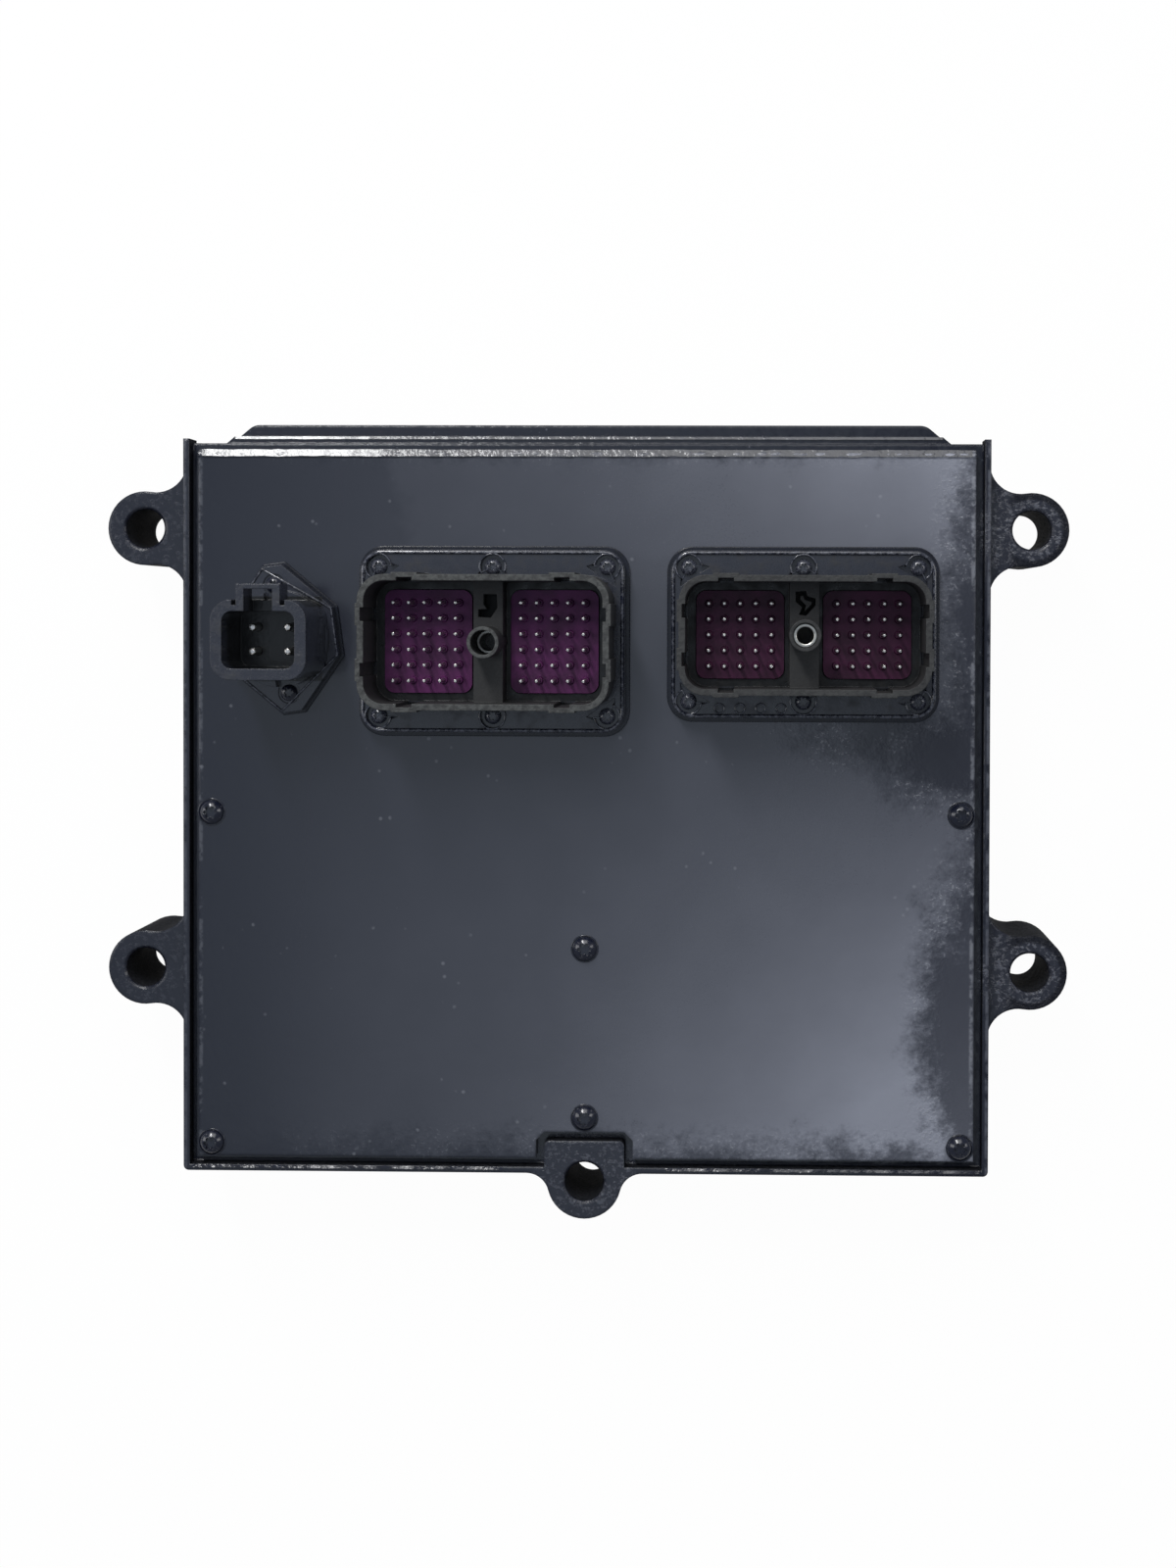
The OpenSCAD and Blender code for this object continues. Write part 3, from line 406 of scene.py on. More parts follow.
def stretch(piece, lengths):
    """Gives a new primitive of size 1 its lengths, in its mesh."""
    select(piece, "FACE", lambda face: True)
    bpy.ops.transform.resize(value=lengths)
    bpy.ops.object.mode_set(mode="OBJECT")


def add_modifier(piece, kind, **settings):
    """Adds a modifier with its settings."""
    modifier = piece.modifiers.new(kind.lower(), kind)
    for key, setting in settings.items():
        setattr(modifier, key, setting)
    return modifier


def modify(piece, kind, **settings):
    """Adds a modifier and applies it."""
    bpy.ops.object.modifier_apply(modifier=add_modifier(piece, kind, **settings).name)


def settle(piece, name, material):
    """Names a finished piece, puts its place in its mesh and ties it to the unit."""
    bpy.ops.object.transform_apply(location=True, rotation=True, scale=True)
    bpy.ops.object.shade_smooth_by_angle(angle=math.radians(35.0))
    piece.name = name
    piece.data.name = name
    piece.data.materials.clear()
    piece.data.materials.append(material)
    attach(piece, "root")


def copy_of(pattern, place, turn=0.0):
    """Copies a pattern, with a mesh of its own, to a place and turns it there."""
    begin()
    pattern.select_set(True)
    bpy.context.view_layer.objects.active = pattern
    bpy.ops.object.duplicate()
    copy = bpy.context.object
    copy.location = place
    copy.rotation_euler.z = turn
    return copy


def discard(pattern):
    """Deletes a pattern whose copies are made, with its mesh."""
    bpy.data.meshes.remove(pattern.data)


def hollow_out(piece, wall):
    """Leaves only a strip along the edge of a flat outline."""
    select(piece, "FACE", lambda face: True)
    bpy.ops.mesh.inset(thickness=wall)
    bpy.ops.mesh.delete(type="FACE")
    bpy.ops.object.mode_set(mode="OBJECT")


def raise_strip(piece, height, rounding):
    """Thickens a flat strip that faces up and rounds its upper edges."""
    modify(piece, "SOLIDIFY", thickness=height, offset=1.0)
    select(piece, "FACE", lambda face: face.normal.z > 0.9)
    bpy.ops.mesh.region_to_loop()
    bpy.ops.mesh.bevel(offset=rounding, segments=3, affect="EDGES")
    bpy.ops.object.mode_set(mode="OBJECT")


def raise_ring(piece, wall, height, rounding):
    """Turns a flat outline that faces up into a closed ring with rounded upper edges."""
    hollow_out(piece, wall)
    raise_strip(piece, height, rounding)


def round_ring(radius, wall, height, rounding, sides):
    """Pattern of a low round ring, at the origin."""
    begin()
    bpy.ops.mesh.primitive_circle_add(vertices=sides, radius=radius, fill_type="NGON")
    ring = bpy.context.object
    raise_ring(ring, wall, height, rounding)
    return ring


def round_edges(node, radius, angle=32.0, clamp=True):
    """Merges a solid's triangles into flat faces and rounds its edges with live modifiers."""
    piece = NODES[node]
    add_modifier(piece, "WELD", merge_threshold=0.002 * MM)
    add_modifier(piece, "DECIMATE", decimate_type="DISSOLVE", angle_limit=math.radians(0.4))
    add_modifier(piece, "BEVEL", width=radius, segments=2, limit_method="ANGLE",
                 angle_limit=math.radians(angle), use_clamp_overlap=clamp)
    add_modifier(piece, "WEIGHTED_NORMAL", keep_sharp=True, weight=60)


def dress(node, material):
    """Gives a solid one material."""
    piece = NODES[node]
    piece.data.materials.clear()
    piece.data.materials.append(material)


def bore_distance(net, x, y):
    """Distance from the axis of the nearest lug's bore."""
    nearest = net.distance(x, y, BORES[0]["pos_m"])
    for bore in BORES[1:]:
        nearest = nearest.least(net.distance(x, y, bore["pos_m"]))
    return nearest


def cast_enamel(settings):
    """Thick glossy enamel on the casting: lumpy along the top and at the right, dull on upright walls, with
    pale grains and a pale rim line that are partly painted glints and a painted highlight.
    """
    net = Net("cast_enamel")
    place = net.place()
    x = net.axis(place, "X")
    y = net.axis(place, "Y")
    lumps = net.noise(place, LUMP_SCALE, 1.0, 0.4)
    ripple = net.noise(place, 90.0, 1.0)
    grain = net.noise(place, 1300.0, 2.0)
    drift = net.noise(place, 50.0, 1.0) - 0.5
    thick = net.fade(x + drift * 0.3, -0.02, 0.16).most(net.fade(y, 0.084, 0.09))
    specks = net.specks(place, 420.0) * net.fade(net.noise(place, 85.0, 1.0), 0.54, 0.66) * thick
    # Pale grains on the lugs, partly dried paint and partly painted glints, more and paler to the right; and
    # a pale line along the rim's outer edge, partly rubbed paint and partly a painted highlight
    bore = bore_distance(net, x, y)
    right = net.fade(x, -0.1, 0.1)
    lug = 1.0 - net.fade(bore, *LUG_REACH)
    rolled = net.fade(bore, *LUG_ROLL) * net.fade(x, *LUG_OUTER)
    crumbs = net.fade(net.noise(place, 760.0, 3.0, 0.65), 0.48, 0.66)
    rubbed_and_highlight = 1.0 - net.fade(abs(abs(x) - RIM_SIDE), 0.25 * MM, 0.8 * MM)
    scuffs = net.fade(net.noise(place, 240.0, 3.0), 0.36, 0.6)
    grains_and_highlights = (crumbs * (right * 0.22 + 0.07) + right * 0.05) * lug * (1.0 - rolled)
    grains_and_highlights = grains_and_highlights.most(rubbed_and_highlight * scuffs * (right * 0.12 + 0.16))
    colour = net.mix((specks * 0.3).most(grains_and_highlights), rgb(settings.colour), rgb(settings.haze))
    height = (lumps * (thick * 0.85 + 0.15) + ripple * 0.6) * settings.lump
    height = height + grain * settings.stipple + specks * (0.04 * MM)
    height = height + crumbs * lug * (right * (0.1 * MM) + 0.03 * MM)
    normal = net.bump(height, settings.edge)
    shine = settings.gloss + grain * 0.08
    paint = net.surface(colour, shine, normal=normal, coat_weight=0.5, coat_roughness=0.1)
    # Upright walls, bores and rolled edges catch little light
    bare = 1.0 - net.fade(bore, BORE_RADIUS + 0.1 * MM, BORE_RADIUS + 0.3 * MM)
    upright = 1.0 - net.fade(net.facing(), 0.12, 0.4)
    dull = net.mix(net.fade(grain, 0.35, 0.65), rgb(settings.wall), rgb(settings.wall_grain))
    wall = net.surface(dull, 0.5 + grain * 0.2, ior=1.04, normal=normal)
    share = bare.most(upright).most(rolled * 0.6)
    return net.output(net.node("ShaderNodeMixShader", inputs={0: share, 1: paint, 2: wall}))


def wet_edge(net, x, y):
    """Distance from the wet patches and from the cover's edges, below 0 in the wet."""
    sides = COVER_HIGH.x - abs(x) - 1.2 * MM
    edge = sides.least(y - COVER_LOW.y - 4 * MM).least(COVER_HIGH.y - y + MM)
    for centre, radii in WET_PATCHES:
        edge = edge.least((net.distance(x, y, centre, radii) - 1.0) * min(radii))
    return edge


def dust_and_painted_reflection(net, x, y, across, wisp):
    """Thickness of the cover's pale film, partly dust and partly a painted reflection of a bright sky: most
    at the two right corners, with a faint patch near the top.
    """
    down = (COVER_HIGH.y - y) / (COVER_HIGH.y - COVER_LOW.y)
    bend = down - 0.43
    dust_and_reflection = across * 0.21 + across * across * across * (bend * bend * 3.9 + 0.1)
    dust_and_reflection = dust_and_reflection + net.fade(across, 0.04, 0.22) * down * 0.06
    patch = net.fade(x + wisp * 0.02 + y * 0.3, -0.037, -0.031) * net.fade(y, 0.04, 0.078)
    return dust_and_reflection + patch * (1.0 - net.fade(x, -0.05, 0.02)) * 0.05


def cover_enamel(settings):
    """Enamel on the cover: a pale film that thickens to the right, partly dust and partly a painted
    reflection of a bright, cloudy sky, with dark wet patches where it thins.
    """
    net = Net("cover_enamel")
    place = net.place()
    x = net.axis(place, "X")
    y = net.axis(place, "Y")
    across = (x - COVER_LOW.x) / (COVER_HIGH.x - COVER_LOW.x)
    cloud = net.noise(place, 14.0, 2.0) - 0.5
    wisp = net.noise(place, 60.0, 3.0) - 0.5
    fringe = net.noise(place, 420.0, 2.0, 0.6) - 0.5
    grain = net.noise(place, 1000.0, 2.0, 0.6) - 0.5
    edge = wet_edge(net, x, y)
    wet = 1.0 - net.fade(edge + wisp * 0.022 + fringe * 0.012 + grain * 0.005, -0.006, 0.007)
    # The pale film is partly dust and partly a painted reflection; cloud-like noise varies it and the wet
    # patches thin it
    dust_and_reflection = dust_and_painted_reflection(net, x, y, across, wisp)
    dust_and_reflection = dust_and_reflection * (cloud * 0.5 + wisp * 0.25 + 1.0) * (1.0 - wet * 0.8)
    # Coarse spray at the edge of the wet, a pale line along the cover's sides that is partly dry specks and
    # partly a painted edge highlight, and loose specks
    spray = (1.0 - net.fade(abs(edge), 0.001, 0.009)) * across
    coarse = net.fade(grain, 0.07, 0.2) * net.fade(wisp + fringe * 0.4, -0.06, 0.1) * spray
    side_specks_and_highlight = 1.0 - net.fade(abs(COVER_HIGH.x - abs(x) - 0.8 * MM), 0.2 * MM, 0.9 * MM)
    side_specks_and_highlight = side_specks_and_highlight * net.fade(fringe + wisp * 0.8, -0.1, 0.16) * (across * 0.35 + 0.2)
    loose = net.specks(place, 240.0) * net.fade(net.noise(place, 75.0, 1.0), 0.6, 0.66)
    ripple = net.noise(place, 250.0, 2.0)
    upper = net.fade(y, COVER_HIGH.y - 3 * MM, COVER_HIGH.y - 2 * MM)
    lumps = (fringe + grain * 0.6) * spray + net.noise(place, LUMP_SCALE, 1.0, 0.4) * upper * 3.0
    height = ripple * settings.peel + lumps * settings.lump + (coarse + loose) * (0.05 * MM)
    colour = net.mix(dust_and_reflection, rgb(settings.colour), rgb(settings.haze))
    colour = net.mix((coarse * 0.55 + loose * 0.3 + side_specks_and_highlight).least(1.0), colour, rgb(settings.speck))
    shine = settings.gloss + dust_and_reflection * 0.25 + grain * 0.1
    normal = net.bump(height, settings.edge)
    return net.finish(colour, shine, normal=normal, coat_weight=0.5 - dust_and_reflection * 0.3, coat_roughness=0.1)


def pooled_paint(settings, name, rubbed, depth=0.12 * MM):
    """Thick glossy enamel in ridges and beads, pale on its upward crests: partly rubbed paint and partly a
    painted highlight, by the share rubbed.
    """
    net = Net(name)
    place = net.place()
    ripple = net.noise(place, 420.0, 2.0)
    fine = net.noise(place, 1700.0, 2.0)
    colour = net.mix(net.fade(ripple, 0.4, 0.7), rgb(settings.colour, 0.8), rgb(settings.colour, 1.5))
    # Pale upward crests: partly rubbed paint, partly a painted highlight
    rubbed_and_highlight = net.fade(net.noise(place, 900.0, 3.0, 0.65), 0.38, 0.62) * net.fade(net.facing(), 0.5, 0.95)
    colour = net.mix(rubbed_and_highlight * rubbed, colour, rgb(settings.haze))
    normal = net.bump(ripple * depth + fine * (0.02 * MM))
    return net.finish(colour, 0.16 + fine * 0.1, normal=normal, coat_weight=0.6, coat_roughness=0.08)


def paint_run(name, material, x_ends, y_ends, level, rise, fall, sunk):
    """Lumpy bead of paint along an edge, whose top slopes down towards the rail."""
    length = x_ends[1] - x_ends[0]
    width = y_ends[1] - y_ends[0]
    begin()
    bpy.ops.mesh.primitive_cube_add(
        size=1.0, location=(sum(x_ends) / 2, sum(y_ends) / 2, level + (rise - sunk) / 2))
    run = bpy.context.object
    stretch(run, (length, width, rise + sunk))
    select(run, "VERT", lambda point: point.co.y > 0.0 and point.co.z > 0.0)
    bpy.ops.transform.translate(value=(0.0, 0.0, -fall))
    bpy.ops.object.mode_set(mode="OBJECT")
    select(run, "EDGE", lambda edge: math.dist(*ends_of(run, edge)) > length / 2)
    bpy.ops.mesh.subdivide(number_cuts=int(length / RUN_STEP))
    bpy.ops.object.mode_set(mode="OBJECT")
    top = (rise + sunk) / 2 - fall
    select(run, "VERT", lambda point: point.co.z > top - SLACK)
    bpy.ops.transform.vertex_random(offset=width * RUN_LUMP, seed=7)
    bpy.ops.object.mode_set(mode="OBJECT")
    settle(run, name, material)


class ECU_OT_castings(bpy.types.Operator):
    """Paints the housing and the cover and lays the beads of paint along their edges"""

    bl_idname = "ecu.castings"
    bl_label = "Castings"

    def execute(self, context):
        paint = context.scene.ecu_paint
        dress("housing", cast_enamel(paint))
        dress("cover_plate", cover_enamel(paint))
        pooled = pooled_paint(paint, "run_enamel", rubbed=0.0, depth=0.4 * MM)
        paint_run(
            "cover_edge_run", pooled,
            x_ends=(COVER_LOW.x + 1.2 * MM, COVER_HIGH.x - 1.2 * MM),
            y_ends=(COVER_HIGH.y - 2.2 * MM, COVER_HIGH.y - 0.1 * MM),
            level=FACE, rise=0.2 * MM, fall=0.85 * MM, sunk=1.5 * MM)
        paint_run(
            "rail_step_run", pooled,
            x_ends=(-RAIL_HALF, RAIL_HALF), y_ends=(STEP_TOP - 0.8 * MM, STEP_TOP),
            level=STEP_FRONT, rise=0.34 * MM, fall=0.32 * MM, sunk=0.2 * MM)
        for side, x_ends in RIM_STRETCHES.items():
            paint_run(
                f"{side}_rim_run", pooled,
                x_ends=x_ends, y_ends=(RIM_EDGE - 0.9 * MM, RIM_EDGE - 0.1 * MM),
                level=RIM_TOP, rise=0.38 * MM, fall=0.36 * MM, sunk=0.2 * MM)
        return {"FINISHED"}


def screw_paint(settings, name, dusty):
    """Enamel over steel, rubbed bright in places and dusty by a share."""
    net = Net(name)
    place = net.place()
    wear = net.noise(place, 700.0, 3.0)
    fine = net.noise(place, 2600.0, 2.0)
    rubbed = net.fade(wear, 0.62, 0.72)
    colour = net.mix(rubbed * 0.5, rgb(settings.colour, 1.25), rgb(settings.steel))
    colour = net.mix(net.fade(fine, 0.3, 0.7) * dusty, colour, rgb(settings.haze))
    normal = net.bump(wear * (0.06 * MM) + fine * (0.02 * MM))
    return net.finish(colour, 0.16 + fine * 0.12, normal=normal, coat_weight=0.5, coat_roughness=0.1)


def cover_screw_places():
    """Centres of the six cover screws."""
    x = COVER_HIGH.x - SCREW_INSET
    y = COVER_LOW.y + SCREW_INSET
    corners = [(-x, y), (x, y)]
    sides = [(-x, y + SIDE_SCREW_RISE), (x, y + SIDE_SCREW_RISE)]
    return corners + sides + [(0.0, y + MIDDLE_SCREW_RISE), (0.0, y + FOOT_SCREW_RISE)]


class ECU_OT_screws(bpy.types.Operator):
    """Paints the cover and flange screws and pools paint around the cover screws"""

    bl_idname = "ecu.screws"
    bl_label = "Screws"

    def execute(self, context):
        paint = context.scene.ecu_paint
        trim = context.scene.ecu_trim
        glossy = screw_paint(paint, "screw_enamel", dusty=0.0)
        dusty = screw_paint(paint, "flange_screw_enamel", dusty=0.3)
        for node, material in (
            ("cover_screws", glossy),
            ("header_60_screws", dusty),
            ("header_50_screws", dusty),
            ("power_screws", glossy),
        ):
            dress(node, material)
            round_edges(node, 0.22 * MM)
        # The faint pale crests of the paint rings are partly a painted highlight
        pooled = pooled_paint(paint, "pooled_enamel", rubbed=0.06)
        pattern = round_ring(
            trim.ring_radius, trim.ring_width, trim.ring_height, trim.ring_rounding, sides=48)
        for number, place in enumerate(cover_screw_places(), 1):
            ring = copy_of(pattern, (*place, FACE))
            settle(ring, f"screw_paint_ring_{number}", pooled)
        discard(pattern)
        return {"FINISHED"}


def flange_bead(header, trim, material):
    """Raised border along the edge of a header's flange."""
    low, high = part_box(f"{header}_shell")
    centre = (low + high) / 2
    begin()
    bpy.ops.mesh.primitive_plane_add(size=1.0, location=(centre.x, centre.y, FLANGE_TOP))
    bead = bpy.context.object
    stretch(bead, (high.x - low.x - FLANGE_MARGIN, high.y - low.y - FLANGE_MARGIN, 1.0))
    select(bead, "FACE", lambda face: True)
    bpy.ops.mesh.bevel(offset=FLANGE_CORNER, segments=8, affect="VERTICES")
    bpy.ops.object.mode_set(mode="OBJECT")
    raise_ring(bead, trim.border_width, trim.border_height, trim.border_rounding)
    settle(bead, f"{header}_flange_bead", material)


def power_flange_bead(trim, material):
    """Raised border along the edge of the power header's eight-sided flange."""
    begin()
    bpy.ops.mesh.primitive_plane_add(size=1.0)
    bead = bpy.context.object
    stretch(bead, (2 * POWER_FLANGE_X, 2 * POWER_FLANGE_Y, 1.0))
    cut_corners(bead)
    raise_ring(bead, trim.power_width, trim.power_height, trim.power_rounding)
    bead.rotation_euler.z = POWER_TURN
    bead.location = (*POWER_PLACE, POWER_FLANGE_TOP)
    settle(bead, "power_flange_bead", material)


def cut_corners(piece):
    """Cuts the corners of the power flange's plan, as its solid has them."""
    for across in (-1, 1):
        for along in (-1, 1):
            first = Vector((across * POWER_FLANGE_X, along * POWER_SIDE, 0.0))
            second = Vector((across * POWER_END, along * POWER_FLANGE_Y, 0.0))
            slope = second - first
            away = Vector((slope.y, -slope.x, 0.0))
            if away.dot(first) < 0.0:
                away = -away
            select(piece, "FACE", lambda face: True)
            bpy.ops.mesh.bisect(plane_co=first, plane_no=away, clear_outer=True)
            bpy.ops.object.mode_set(mode="OBJECT")


def flange_screw_places(header):
    """Centres of a header's six flange screws."""
    low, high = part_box(f"{header}_screws")
    columns = (low.x + FLANGE_HEAD, (low.x + high.x) / 2, high.x - FLANGE_HEAD)
    return [(x, y) for x in columns for y in (low.y + FLANGE_HEAD, high.y - FLANGE_HEAD)]


def pocket_lip(trim):
    """Pattern of the lip around a screw pocket, open below with its two ends turned out, at the origin."""
    begin()
    bpy.ops.mesh.primitive_circle_add(vertices=40, radius=trim.lip_radius, fill_type="NGON")
    lip = bpy.context.object
    hollow_out(lip, trim.lip_width)
    select(lip, "FACE", lambda face: face.center.y < POCKET_OPENING)
    bpy.ops.mesh.delete(type="FACE")
    bpy.ops.object.mode_set(mode="OBJECT")
    for side in (-1, 1):
        end = end_edge(lip, side, trim.lip_width)
        select(lip, "EDGE", lambda edge: edge.index == end)
        move = (side * POCKET_FLARE[0], POCKET_FLARE[1], 0.0)
        bpy.ops.mesh.extrude_region_move(TRANSFORM_OT_translate={"value": move})
        bpy.ops.object.mode_set(mode="OBJECT")
    raise_strip(lip, trim.lip_height, trim.lip_rounding)
    return lip


def end_edge(piece, side, wall):
    """Number of the edge across the wall at one end of an open ring."""
    levels = {}
    for edge in piece.data.edges:
        first, second = ends_of(piece, edge)
        crosses = abs(abs(first.length - second.length) - wall) < SLACK
        if crosses and min(first.x * side, second.x * side) > 0.0:
            levels[edge.index] = first.y + second.y
    return min(levels, key=levels.get)


def lip_turn(header, place):
    """Turn of a pocket's lip, whose opening faces the shroud."""
    centre = middle(f"{header}_shell")
    lean = (place[0] > centre.x + MM) - (place[0] < centre.x - MM)
    if place[1] > centre.y:
        return math.radians(-POCKET_LEAN * lean)
    return math.radians(180.0 + POCKET_LEAN * lean)


class ECU_OT_flanges(bpy.types.Operator):
    """Moulds the borders, pocket lips and dimples of the header flanges"""

    bl_idname = "ecu.flanges"
    bl_label = "Flange details"

    def execute(self, context):
        trim = context.scene.ecu_trim
        # The pale crests of the flange borders, lips and dimples are partly a painted highlight
        material = pooled_paint(context.scene.ecu_paint, "flange_enamel", rubbed=0.34)
        pattern = pocket_lip(trim)
        for header in HEADERS:
            flange_bead(header, trim, material)
            for number, place in enumerate(flange_screw_places(header), 1):
                lip = copy_of(pattern, (*place, FLANGE_TOP), lip_turn(header, place))
                settle(lip, f"{header}_pocket_lip_{number}", material)
        discard(pattern)
        power_flange_bead(trim, material)
        pattern = round_ring(
            trim.dimple_radius, trim.dimple_width, trim.dimple_height, trim.dimple_rounding, sides=28)
        for number in range(DIMPLES):
            place = (DIMPLE_FIRST[0] + DIMPLE_STEP * number, DIMPLE_FIRST[1], FLANGE_TOP)
            settle(copy_of(pattern, place), f"flange_dimple_{number + 1}", material)
        discard(pattern)
        return {"FINISHED"}


def shell_plastic(settings, paint, node, rubbed, dim, sprayed_to):
    """Header plastic: rubbed at the rim, sprayed with enamel near the flange, and painted dark deep inside
    as shade.
    """
    low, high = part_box(node)
    centre = (low + high) / 2
    half = (high - low) / 2 - SHROUD_INSET
    net = Net(node.replace("shell", "plastic"))
    place = net.place()
    x = net.axis(place, "X")
    y = net.axis(place, "Y")
    z = net.axis(place, "Z")
    drift = net.noise(place, 240.0, 3.0)
    mottle = net.noise(place, 620.0, 3.0, 0.65)
    fine = net.noise(place, 1500.0, 3.0, 0.6)
    sprayed = 1.0 - net.fade(z + drift * (6 * MM), sprayed_to - 3.5 * MM, sprayed_to)
    rim = net.fade(z + drift * (0.8 * MM), high.z - 0.6 * MM, high.z)
    chalky = rim * (net.fade(mottle, 0.4, 0.62) * 0.8 + 0.2)
    within = net.fade(half.x - abs(x - centre.x), -0.4 * MM, 0.0)
    within = within * net.fade(half.y - abs(y - centre.y), -0.4 * MM, 0.0)
    # Painted shade: inside the shroud and below its level the plastic is darkened towards the shade colour
    painted_shade = within * net.fade(dim - z, 0.0, 1.4 * MM)
    outside, inside = rubbed
    bare = net.mix(fine * 0.6, rgb(settings.shell, 0.7), rgb(settings.shell, 1.5))
    bare = net.mix(chalky * (outside + within * (inside - outside)), bare, rgb(settings.chalk))
    bare = net.mix(painted_shade * 0.82, bare, rgb(settings.shade))
    coated = net.mix(drift * 0.1, rgb(paint.colour), rgb(paint.haze))
    colour = net.mix(sprayed * (1.0 - painted_shade), bare, coated)
    shine = (0.5 + mottle * 0.25) * (1.0 - sprayed) + (0.18 + fine * 0.12) * sprayed
    height = fine * (0.04 * MM) + drift * (0.1 * MM + rim * (0.12 * MM))
    height = height + mottle * (rim * (0.22 * MM) + 0.04 * MM)
    normal = net.bump(height, settings.edge)
    coat = sprayed * (0.5 - painted_shade * 0.5)
    return net.finish(colour, shine, normal=normal, coat_weight=coat, coat_roughness=0.1)


class ECU_OT_shells(bpy.types.Operator):
    """Gives the three header shells their plastic"""

    bl_idname = "ecu.shells"
    bl_label = "Header shells"

    def execute(self, context):
        scene = context.scene
        # Each shell's shares of rubbing, outside and inside its shroud, its level of painted shade inside
        # and its level of spray
        for node, rubbed, dim, sprayed_to in (
            ("header_60_shell", (1.0, 1.4), HEADER_DIM, HEADER_SPRAY),
            ("header_50_shell", (0.35, 0.0), HEADER_DIM, HEADER_SPRAY),
            ("power_shell", (0.15, 0.15), POWER_DIM, POWER_SPRAY),
        ):
            dress(node, shell_plastic(scene.ecu_plastic, scene.ecu_paint, node, rubbed, dim, sprayed_to))
        return {"FINISHED"}


def violet_plastic(colour, name):
    """Insert plastic: a faint mottle and moulding grain."""
    net = Net(name)
    place = net.place()
    mottle = net.noise(place, 120.0, 3.0)
    fine = net.noise(place, 1900.0, 2.0)
    tone = net.mix(net.fade(mottle, 0.3, 0.7), rgb(colour, 0.75), rgb(colour, 1.3))
    return net.finish(tone, 0.44 + fine * 0.16, normal=net.bump(fine * (0.03 * MM)), ior=1.42)


def pin_collars(header, side, trim, material):
    """Small moulded collar around each pin of one insert."""
    insert = f"{header}_{side}_insert"
    centre = middle(insert)
    rows = ROWS[header]
    x = centre.x - (COLUMNS - 1) / 2 * PITCH
    y = centre.y - (rows - 1) / 2 * PITCH
    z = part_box(insert)[1].z + trim.collar_height / 2
    begin()
    bpy.ops.mesh.primitive_cone_add(
        vertices=12, radius1=trim.collar_base, radius2=trim.collar_top, depth=trim.collar_height,
        location=(x, y, z))
    collar = bpy.context.object
    select(collar, "FACE", lambda face: face.normal.z > 0.9)
    bpy.ops.mesh.inset(thickness=trim.collar_wall)
    bpy.ops.mesh.extrude_region_move(TRANSFORM_OT_translate={"value": (0.0, 0.0, -trim.collar_depth)})
    bpy.ops.object.mode_set(mode="OBJECT")
    for count, step in ((COLUMNS, (PITCH, 0.0, 0.0)), (rows, (0.0, PITCH, 0.0))):
        modify(collar, "ARRAY", count=count, use_relative_offset=False, use_constant_offset=True,
               constant_offset_displace=step)
    settle(collar, f"{header}_{side}_collars", material)


class ECU_OT_inserts(bpy.types.Operator):
    """Gives the pin inserts their violet plastic and moulds a collar around each pin"""

    bl_idname = "ecu.inserts"
    bl_label = "Inserts"

    def execute(self, context):
        plastic = context.scene.ecu_plastic
        # The shorter header gets the same violet, painted darker as shade
        for header, colour in zip(HEADERS, (plastic.violet, plastic.violet_in_shade)):
            material = violet_plastic(colour, f"{header}_violet")
            for side in ("left", "right"):
                dress(f"{header}_{side}_insert", material)
                round_edges(f"{header}_{side}_insert", 0.3 * MM)
                pin_collars(header, side, context.scene.ecu_trim, material)
        return {"FINISHED"}


def plated(colour, name, shine, scratch):
    """Plated metal with fine turning marks and a little tarnish."""
    net = Net(name)
    place = net.place()
    inputs = {"W": net.axis(place, "Z"), "Scale": scratch, "Detail": 2.0}
    lines = net.node("ShaderNodeTexNoise", {"noise_dimensions": "1D"}, inputs)
    tarnish = net.noise(place, 500.0, 3.0)
    tone = net.mix(net.fade(tarnish, 0.42, 0.75) * 0.4, rgb(colour), rgb(colour, 0.6))
    return net.finish(tone, shine + lines * 0.14, normal=net.bump(lines * (0.01 * MM)), metallic=1.0)


class ECU_OT_metal(bpy.types.Operator):
    """Plates the pins and the jack bushes"""

    bl_idname = "ecu.metal"
    bl_label = "Pins and bushes"

    def execute(self, context):
        metal = context.scene.ecu_metal
        nickel = plated(metal.nickel, "pin_nickel", shine=0.22, scratch=5200.0)
        steel = plated(metal.steel, "bush_steel", shine=0.24, scratch=3800.0)
        tips = {"header_60_pins": 0.12 * MM, "header_50_pins": 0.12 * MM, "power_pins": 0.25 * MM}
        for node, rounding in tips.items():
            dress(node, nickel)
            round_edges(node, rounding, angle=20.0, clamp=False)
        for node in ("header_60_jack_bush", "header_50_jack_bush"):
            dress(node, steel)
            round_edges(node, 0.3 * MM)
        return {"FINISHED"}


def sealing_rubber(paint):
    """Black rubber, blotched with enamel."""
    net = Net("gasket_rubber")
    place = net.place()
    fine = net.noise(place, 1100.0, 3.0)
    drift = net.noise(place, 180.0, 2.0)
    colour = net.mix(net.fade(drift, 0.35, 0.65), rgb(paint.colour, 0.6), rgb(paint.colour))
    normal = net.bump(fine * (0.02 * MM) + drift * (0.1 * MM), 0.6 * MM)
    return net.finish(colour, 0.2 + fine * 0.15, normal=normal)


class ECU_OT_gaskets(bpy.types.Operator):
    """Gives the gaskets their rubber"""

    bl_idname = "ecu.gaskets"
    bl_label = "Gaskets"

    def execute(self, context):
        material = sealing_rubber(context.scene.ecu_paint)
        for node in ("cover_gasket", "header_60_gasket", "header_50_gasket", "power_gasket"):
            dress(node, material)
        return {"FINISHED"}


